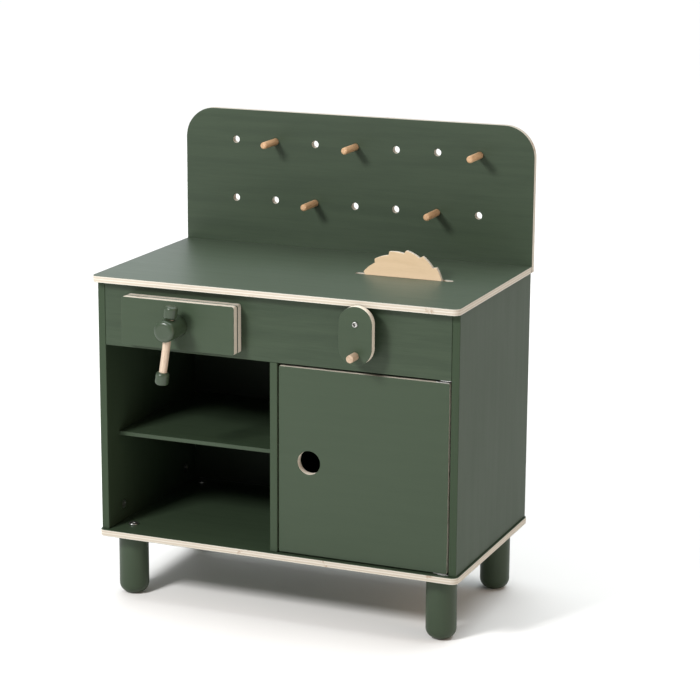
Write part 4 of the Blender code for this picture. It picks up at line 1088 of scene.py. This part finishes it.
def make_door():
    low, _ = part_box("door")
    centre = (low.x + FINGER_HOLE_FROM_EDGE, low.z + FINGER_HOLE_HEIGHT)
    hole = circle(centre, FINGER_HOLE_DIAMETER)
    mesh = board("door", FACING_FRONT, SQUARE_CORNER, paint_door, ply_edge_lightened_as_painted_light, [hole])
    add_piece("cupboard_door", mesh, "door", ["door"])
    for end in ("top", "bottom"):
        plate = f"door_plate_{end}"
        mesh = board(plate, LYING, PLATE_CORNER, zinc, zinc, ease=METAL_EASE)
        add_piece(f"door_leaf_{end}", mesh, "door", [plate])
        make_bracket(end)
    mesh = board("strike_plate", FACING_FRONT, PLATE_CORNER, zinc, zinc, ease=METAL_EASE)
    mesh.transform(Matrix.Translation((0.0, STRIKE_PROUD, 0.0)))
    add_piece("catch_strike", mesh, "door", ["strike_plate"])


def make_bracket(end):
    """The fixed half of a pivot hinge: a thin plate with its pin standing in the door."""
    node = f"hinge_bracket_{end}"
    low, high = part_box(node)
    leaf_low, pin_end = (high.z - LEAF_THICKNESS, low.z) if end == "top" else (low.z, high.z)
    outline = rounded_rectangle(low.xy, high.xy, PLATE_CORNER)
    values = {"Thickness": LEAF_THICKNESS, "Ease": METAL_EASE, "Face": zinc, "Edge": zinc}
    leaf = grown(sawn_board, outline_mesh(outline), values)
    leaf.transform(Matrix.Translation((0.0, 0.0, leaf_low)))
    pin_low, pin_high = sorted((pin_end, leaf_low + LEAF_THICKNESS / 2))
    profile = rod(PIVOT_DIAMETER / 2, pin_low, pin_high, METAL_RIMS, steps=METAL_STEPS)
    place = (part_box("door")[1].x - PIVOT_FROM_EDGE, (low.y + high.y) / 2, 0.0)
    pin = turned(profile, place, UPRIGHT, SMALL_SIDES, zinc)
    add_piece(f"pivot_bracket_{end}", merged(leaf, pin), "cabinet", [node])


# ---------------------------------------------------------------------------------------------
# Vice
# ---------------------------------------------------------------------------------------------


def make_vice():
    spindle_hole = circle(centre_of("vice_hub").xz, SPINDLE_BORE, SMALL_SIDES)
    guides = [f"vice_guide_{side}" for side in ("left", "right")]
    guide_holes = [circle(centre_of(guide).xz, GUIDE_BORE, SMALL_SIDES) for guide in guides]
    for node, name, body, holes in (
        ("vice_fixed_plate", "fixed_jaw", "cabinet", [spindle_hole, *guide_holes]),
        ("vice_jaw", "moving_jaw", "vice_jaw", [spindle_hole]),
    ):
        mesh = board(node, FACING_FRONT, VICE_PLATE_CORNER, paint_plates, ply_edge_lightened_as_painted_light, holes)
        add_piece(name, mesh, body, [node])
    for guide in guides:
        beech = dowel_beech(f"beech_{guide}", GRAIN_ALONG_Y, centre_of(guide))
        mesh = rod_along_y(guide, DOWEL_RIMS, SMALL_SIDES, beech)
        name = guide.replace("vice_guide", "guide_dowel")
        add_piece(name, mesh, "vice_jaw", [guide])


def make_screw():
    """The wooden screw with a plain neck, its hub and the collar that draws the jaw along."""
    low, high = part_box("vice_spindle")
    axis = centre_of("vice_hub")
    beech = dowel_beech("beech_spindle", GRAIN_ALONG_Y, axis)
    radius, length = (high.z - low.z) / 2, high.y - low.y
    root = radius - THREAD_DEPTH
    profile = [(0.0, 0.0), (radius - LIP_EASE, 0.0), (radius, LIP_EASE)]
    profile += [(radius, SCREW_NECK - NECK_SLOPE), (root, SCREW_NECK + NECK_SLOPE)]
    profile += [(root, length - NECK_SLOPE), (root - NECK_SLOPE, length), (0.0, length)]
    core = turned(profile, (axis.x, low.y, axis.z), ALONG_Y, SMALL_SIDES, beech)
    thread_start = SCREW_NECK + THREAD_FROM_END
    values = {
        "Radius": radius,
        "Depth": THREAD_DEPTH,
        "Pitch": THREAD_PITCH,
        "Length": length - thread_start - THREAD_FROM_END,
        "Material": beech,
    }
    ridge = grown(wooden_thread, bpy.data.meshes.new("empty"), values)
    lay_along_y = Euler(ALONG_Y).to_matrix().to_4x4()
    ridge.transform(Matrix.Translation((axis.x, low.y + thread_start, axis.z)) @ lay_along_y)
    add_piece("wooden_screw", merged(core, ridge), "vice_screw", ["vice_spindle"])
    hub = rod_along_y("vice_hub", HUB_RIMS, FINE_SIDES, paint_turned, steps=10)
    add_piece("screw_hub", hub, "vice_screw", ["vice_hub"])
    collar = rod_along_y("vice_collar", METAL_RIMS, FINE_SIDES, zinc, steps=METAL_STEPS)
    add_piece("thrust_collar", collar, "vice_screw", ["vice_collar"])


def make_bar():
    """The handle bar and its caps lie along one line, tilted in the plane of the jaws."""
    turn = (0.0, BAR_TILT, 0.0)
    size = size_of("vice_bar")
    radius = size.y / 2
    half = (size.z / 2 - radius * math.sin(BAR_TILT)) / math.cos(BAR_TILT)
    middle = centre_of("vice_bar")
    beech = dowel_beech("beech_bar", turn, middle)
    mesh = turned(rod(radius, -half, half, BAR_RIMS), middle, turn, SMALL_SIDES, beech)
    add_piece("handle_bar", mesh, "vice_bar", ["vice_bar"])
    for end in ("high", "low"):
        cap = f"bar_cap_{end}"
        profile = rod(size_of(cap).y / 2, -CAP_LENGTH / 2, CAP_LENGTH / 2, CAP_RIMS, steps=8)
        mesh = turned(profile, centre_of(cap), turn, FINE_SIDES, paint_turned)
        add_piece(f"bar_end_{end}", mesh, "vice_bar", [cap])


# ---------------------------------------------------------------------------------------------
# Saw
# ---------------------------------------------------------------------------------------------


def make_crank():
    axis = centre_of("crank_bolt")
    hole = circle(axis.xz, CRANK_BOLT_BORE, SMALL_SIDES)
    corner = size_of("crank_plate").x / 2
    mesh = board("crank_plate", FACING_FRONT, corner, paint_plates, ply_edge_lightened_as_painted_light, [hole])
    add_piece("crank_arm", mesh, "saw_drive", ["crank_plate"])

    low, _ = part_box("crank_knob")
    knob = centre_of("crank_knob")
    heart = (knob.x + 0.002, low.y, knob.z + 0.0015)
    beech = turned_beech("beech_knob", GRAIN_ALONG_Y, heart, KNOB_LIGHT, KNOB_DARK)
    mesh = rod_along_y("crank_knob", KNOB_RIMS, SMALL_SIDES, beech)
    add_piece("crank_handle", mesh, "saw_drive", ["crank_knob"])

    low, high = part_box("crank_bolt")
    head = rod((high.x - low.x) / 2, -CRANK_BOLT_HEAD, 0.0, CRANK_BOLT_RIMS, steps=5)
    profile = bolt(CRANK_BOLT_SHANK, CRANK_BOLT_CHAMFER, low.y - high.y, head)
    place = (axis.x, low.y, axis.z)
    values = driven(CRANK_BOLT_KEY)
    mesh = turned(profile, place, TOWARDS_FRONT, SMALL_SIDES, zinc, hex_turned, values)
    add_piece("crank_screw", mesh, "saw_drive", ["crank_bolt"])


def make_saw():
    """The toothed disc between its two collars on the axle, and the bush in the apron."""
    axis = centre_of("saw_axle")
    low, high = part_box("saw_blade")
    values = {
        "Tip Radius": TIP_RADIUS,
        "Root Radius": ROOT_RADIUS,
        "Teeth": TEETH,
        "Points": TOOTH_POINTS,
        "Tip Angle": TIP_ANGLE,
        "Steep Share": STEEP_SHARE,
        "Back Bow": BACK_BOW,
        "Bore Radius": COLLAR_BORE / 2,
        "Thickness": high.y - low.y,
        "Ease": DISC_EASE,
        "Face": ply_face,
        "Edge": ply_edge,
    }
    disc = grown(saw_disc, bpy.data.meshes.new("empty"), values)
    disc.transform(Matrix.Translation((axis.x, low.y, axis.z)) @ FACING_FRONT)
    add_piece("toothed_disc", disc, "saw_drive", ["saw_blade"])
    beech = dowel_beech("beech_axle", GRAIN_ALONG_Y, axis)
    mesh = rod_along_y("saw_axle", DOWEL_RIMS, SMALL_SIDES, beech)
    add_piece("axle_dowel", mesh, "saw_drive", ["saw_axle"])
    for end in ("front", "back"):
        node = f"blade_collar_{end}"
        outline = circle(axis.xz, size_of(node).z)
        bore = circle(axis.xz, COLLAR_BORE, SMALL_SIDES)
        mesh = board(node, FACING_FRONT, 0.0, ply_face, ply_edge, [bore], outline=outline)
        add_piece(f"disc_collar_{end}", mesh, "saw_drive", [node])
    make_bush(axis)


def make_bush(axis):
    """A flanged sleeve: its flange lies on the apron's front, its tube in the hole."""
    low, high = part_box("axle_bush")
    flange, bore, length = (high.z - low.z) / 2, AXLE_BORE / 2, high.y - low.y
    tube = bore + BUSH_WALL
    profile = [(bore, 0.0), (flange - LIP_EASE, 0.0), (flange, LIP_EASE)]
    profile += [(flange, BUSH_FLANGE - FLANGE_EASE), (flange - FLANGE_EASE, BUSH_FLANGE)]
    profile += [(tube, BUSH_FLANGE), (tube, length), (bore, length), (bore, 0.0)]
    mesh = turned(profile, (axis.x, low.y, axis.z), ALONG_Y, FINE_SIDES, nylon)
    add_piece("flanged_bush", mesh, "cabinet", ["axle_bush"])


# ---------------------------------------------------------------------------------------------
# Studio
# ---------------------------------------------------------------------------------------------

CAMERA_PLACE = (1.40234, -3.25875, 1.26253)
CAMERA_YAW = 0.40925
CAMERA_PITCH = -0.23677
CAMERA_ROLL = 0.00142
CAMERA_LENS = 120.69
CAMERA_SHIFT = (0.0704, -0.0037)


def make_camera():
    data = bpy.data.cameras.new("camera")
    data.lens = CAMERA_LENS
    data.shift_x, data.shift_y = CAMERA_SHIFT
    data.clip_end = 100.0
    camera = bpy.data.objects.new("camera", data)
    bpy.context.scene.collection.objects.link(camera)
    turn = Matrix.Rotation(CAMERA_YAW, 4, "Z") @ Matrix.Rotation(math.pi / 2 + CAMERA_PITCH, 4, "X")
    turn = turn @ Matrix.Rotation(CAMERA_ROLL, 4, "Z")
    camera.matrix_world = Matrix.Translation(CAMERA_PLACE) @ turn
    bpy.context.scene.camera = camera


def make_floor():
    mesh = bpy.data.meshes.new("floor")
    bm = bmesh.new()
    bmesh.ops.create_grid(bm, x_segments=1, y_segments=1, size=60.0)
    bm.to_mesh(mesh)
    bm.free()
    floor = bpy.data.objects.new("floor", mesh)
    bpy.context.scene.collection.objects.link(floor)
    f = Finish("pale_floor", roughness=0.9)
    clouds = f.noise(f.place, scale=0.6, detail=2.0)
    mesh.materials.append(f.connect(f.mix(clouds, (0.90, 0.88, 0.865), (0.92, 0.90, 0.885))))


def add_light(name, kind, place, aim, energy, colour=(1.0, 1.0, 1.0), **settings):
    data = bpy.data.lights.new(name, kind)
    data.energy = energy
    data.color = colour
    for key, value in settings.items():
        setattr(data, key, value)
    light = bpy.data.objects.new(name, data)
    bpy.context.scene.collection.objects.link(light)
    light.location = place
    light.rotation_euler = (Vector(aim) - Vector(place)).to_track_quat("-Z", "Y").to_euler()
    return light


def make_studio():
    make_camera()
    make_floor()
    middle = (0.0, 0.0, 0.40)
    cool = (0.90, 0.97, 1.0)
    warm = (1.0, 0.66, 0.42)
    key = add_light("softbox", "AREA", (-0.80, -1.83, 1.70), middle, 55.0, size=0.5)
    add_light("overhead", "SUN", (0.1, 0.9, 3.4), middle, 2.6, cool, angle=math.radians(60))
    add_light("fill", "SUN", (3.0, -0.3, 1.5), middle, 0.60, warm, angle=math.radians(50))
    card = add_light("sheen", "AREA", (-2.2, 4.0, 1.9), middle, 16.0, cool, size=2.6)
    key.visible_camera = False
    card.visible_camera = False
    world = bpy.data.worlds.new("studio")
    world.use_nodes = True
    background = world.node_tree.nodes["Background"]
    background.inputs["Color"].default_value = (1.0, 1.0, 1.0, 1.0)
    background.inputs["Strength"].default_value = 0.36
    bpy.context.scene.world = world
    bpy.context.scene.view_settings.view_transform = "Standard"


def clear_startup():
    for name in ("Cube", "Light", "Camera"):
        if name in bpy.data.objects:
            bpy.data.objects.remove(bpy.data.objects[name])


clear_startup()
make_studio()
make_boards()
make_blocks()
make_legs()
make_board_screws()
make_wall_fittings("cam_nut", "cam_nuts", CAM_RIMS, cross_turned, driven(CAM_KEY))
make_wall_fittings("shelf_pin", "shelf_pins", PIN_RIMS, plain_turned, {})
make_pegs()
make_door()
make_vice()
make_screw()
make_bar()
make_crank()
make_saw()

bpy.context.view_layer.update()
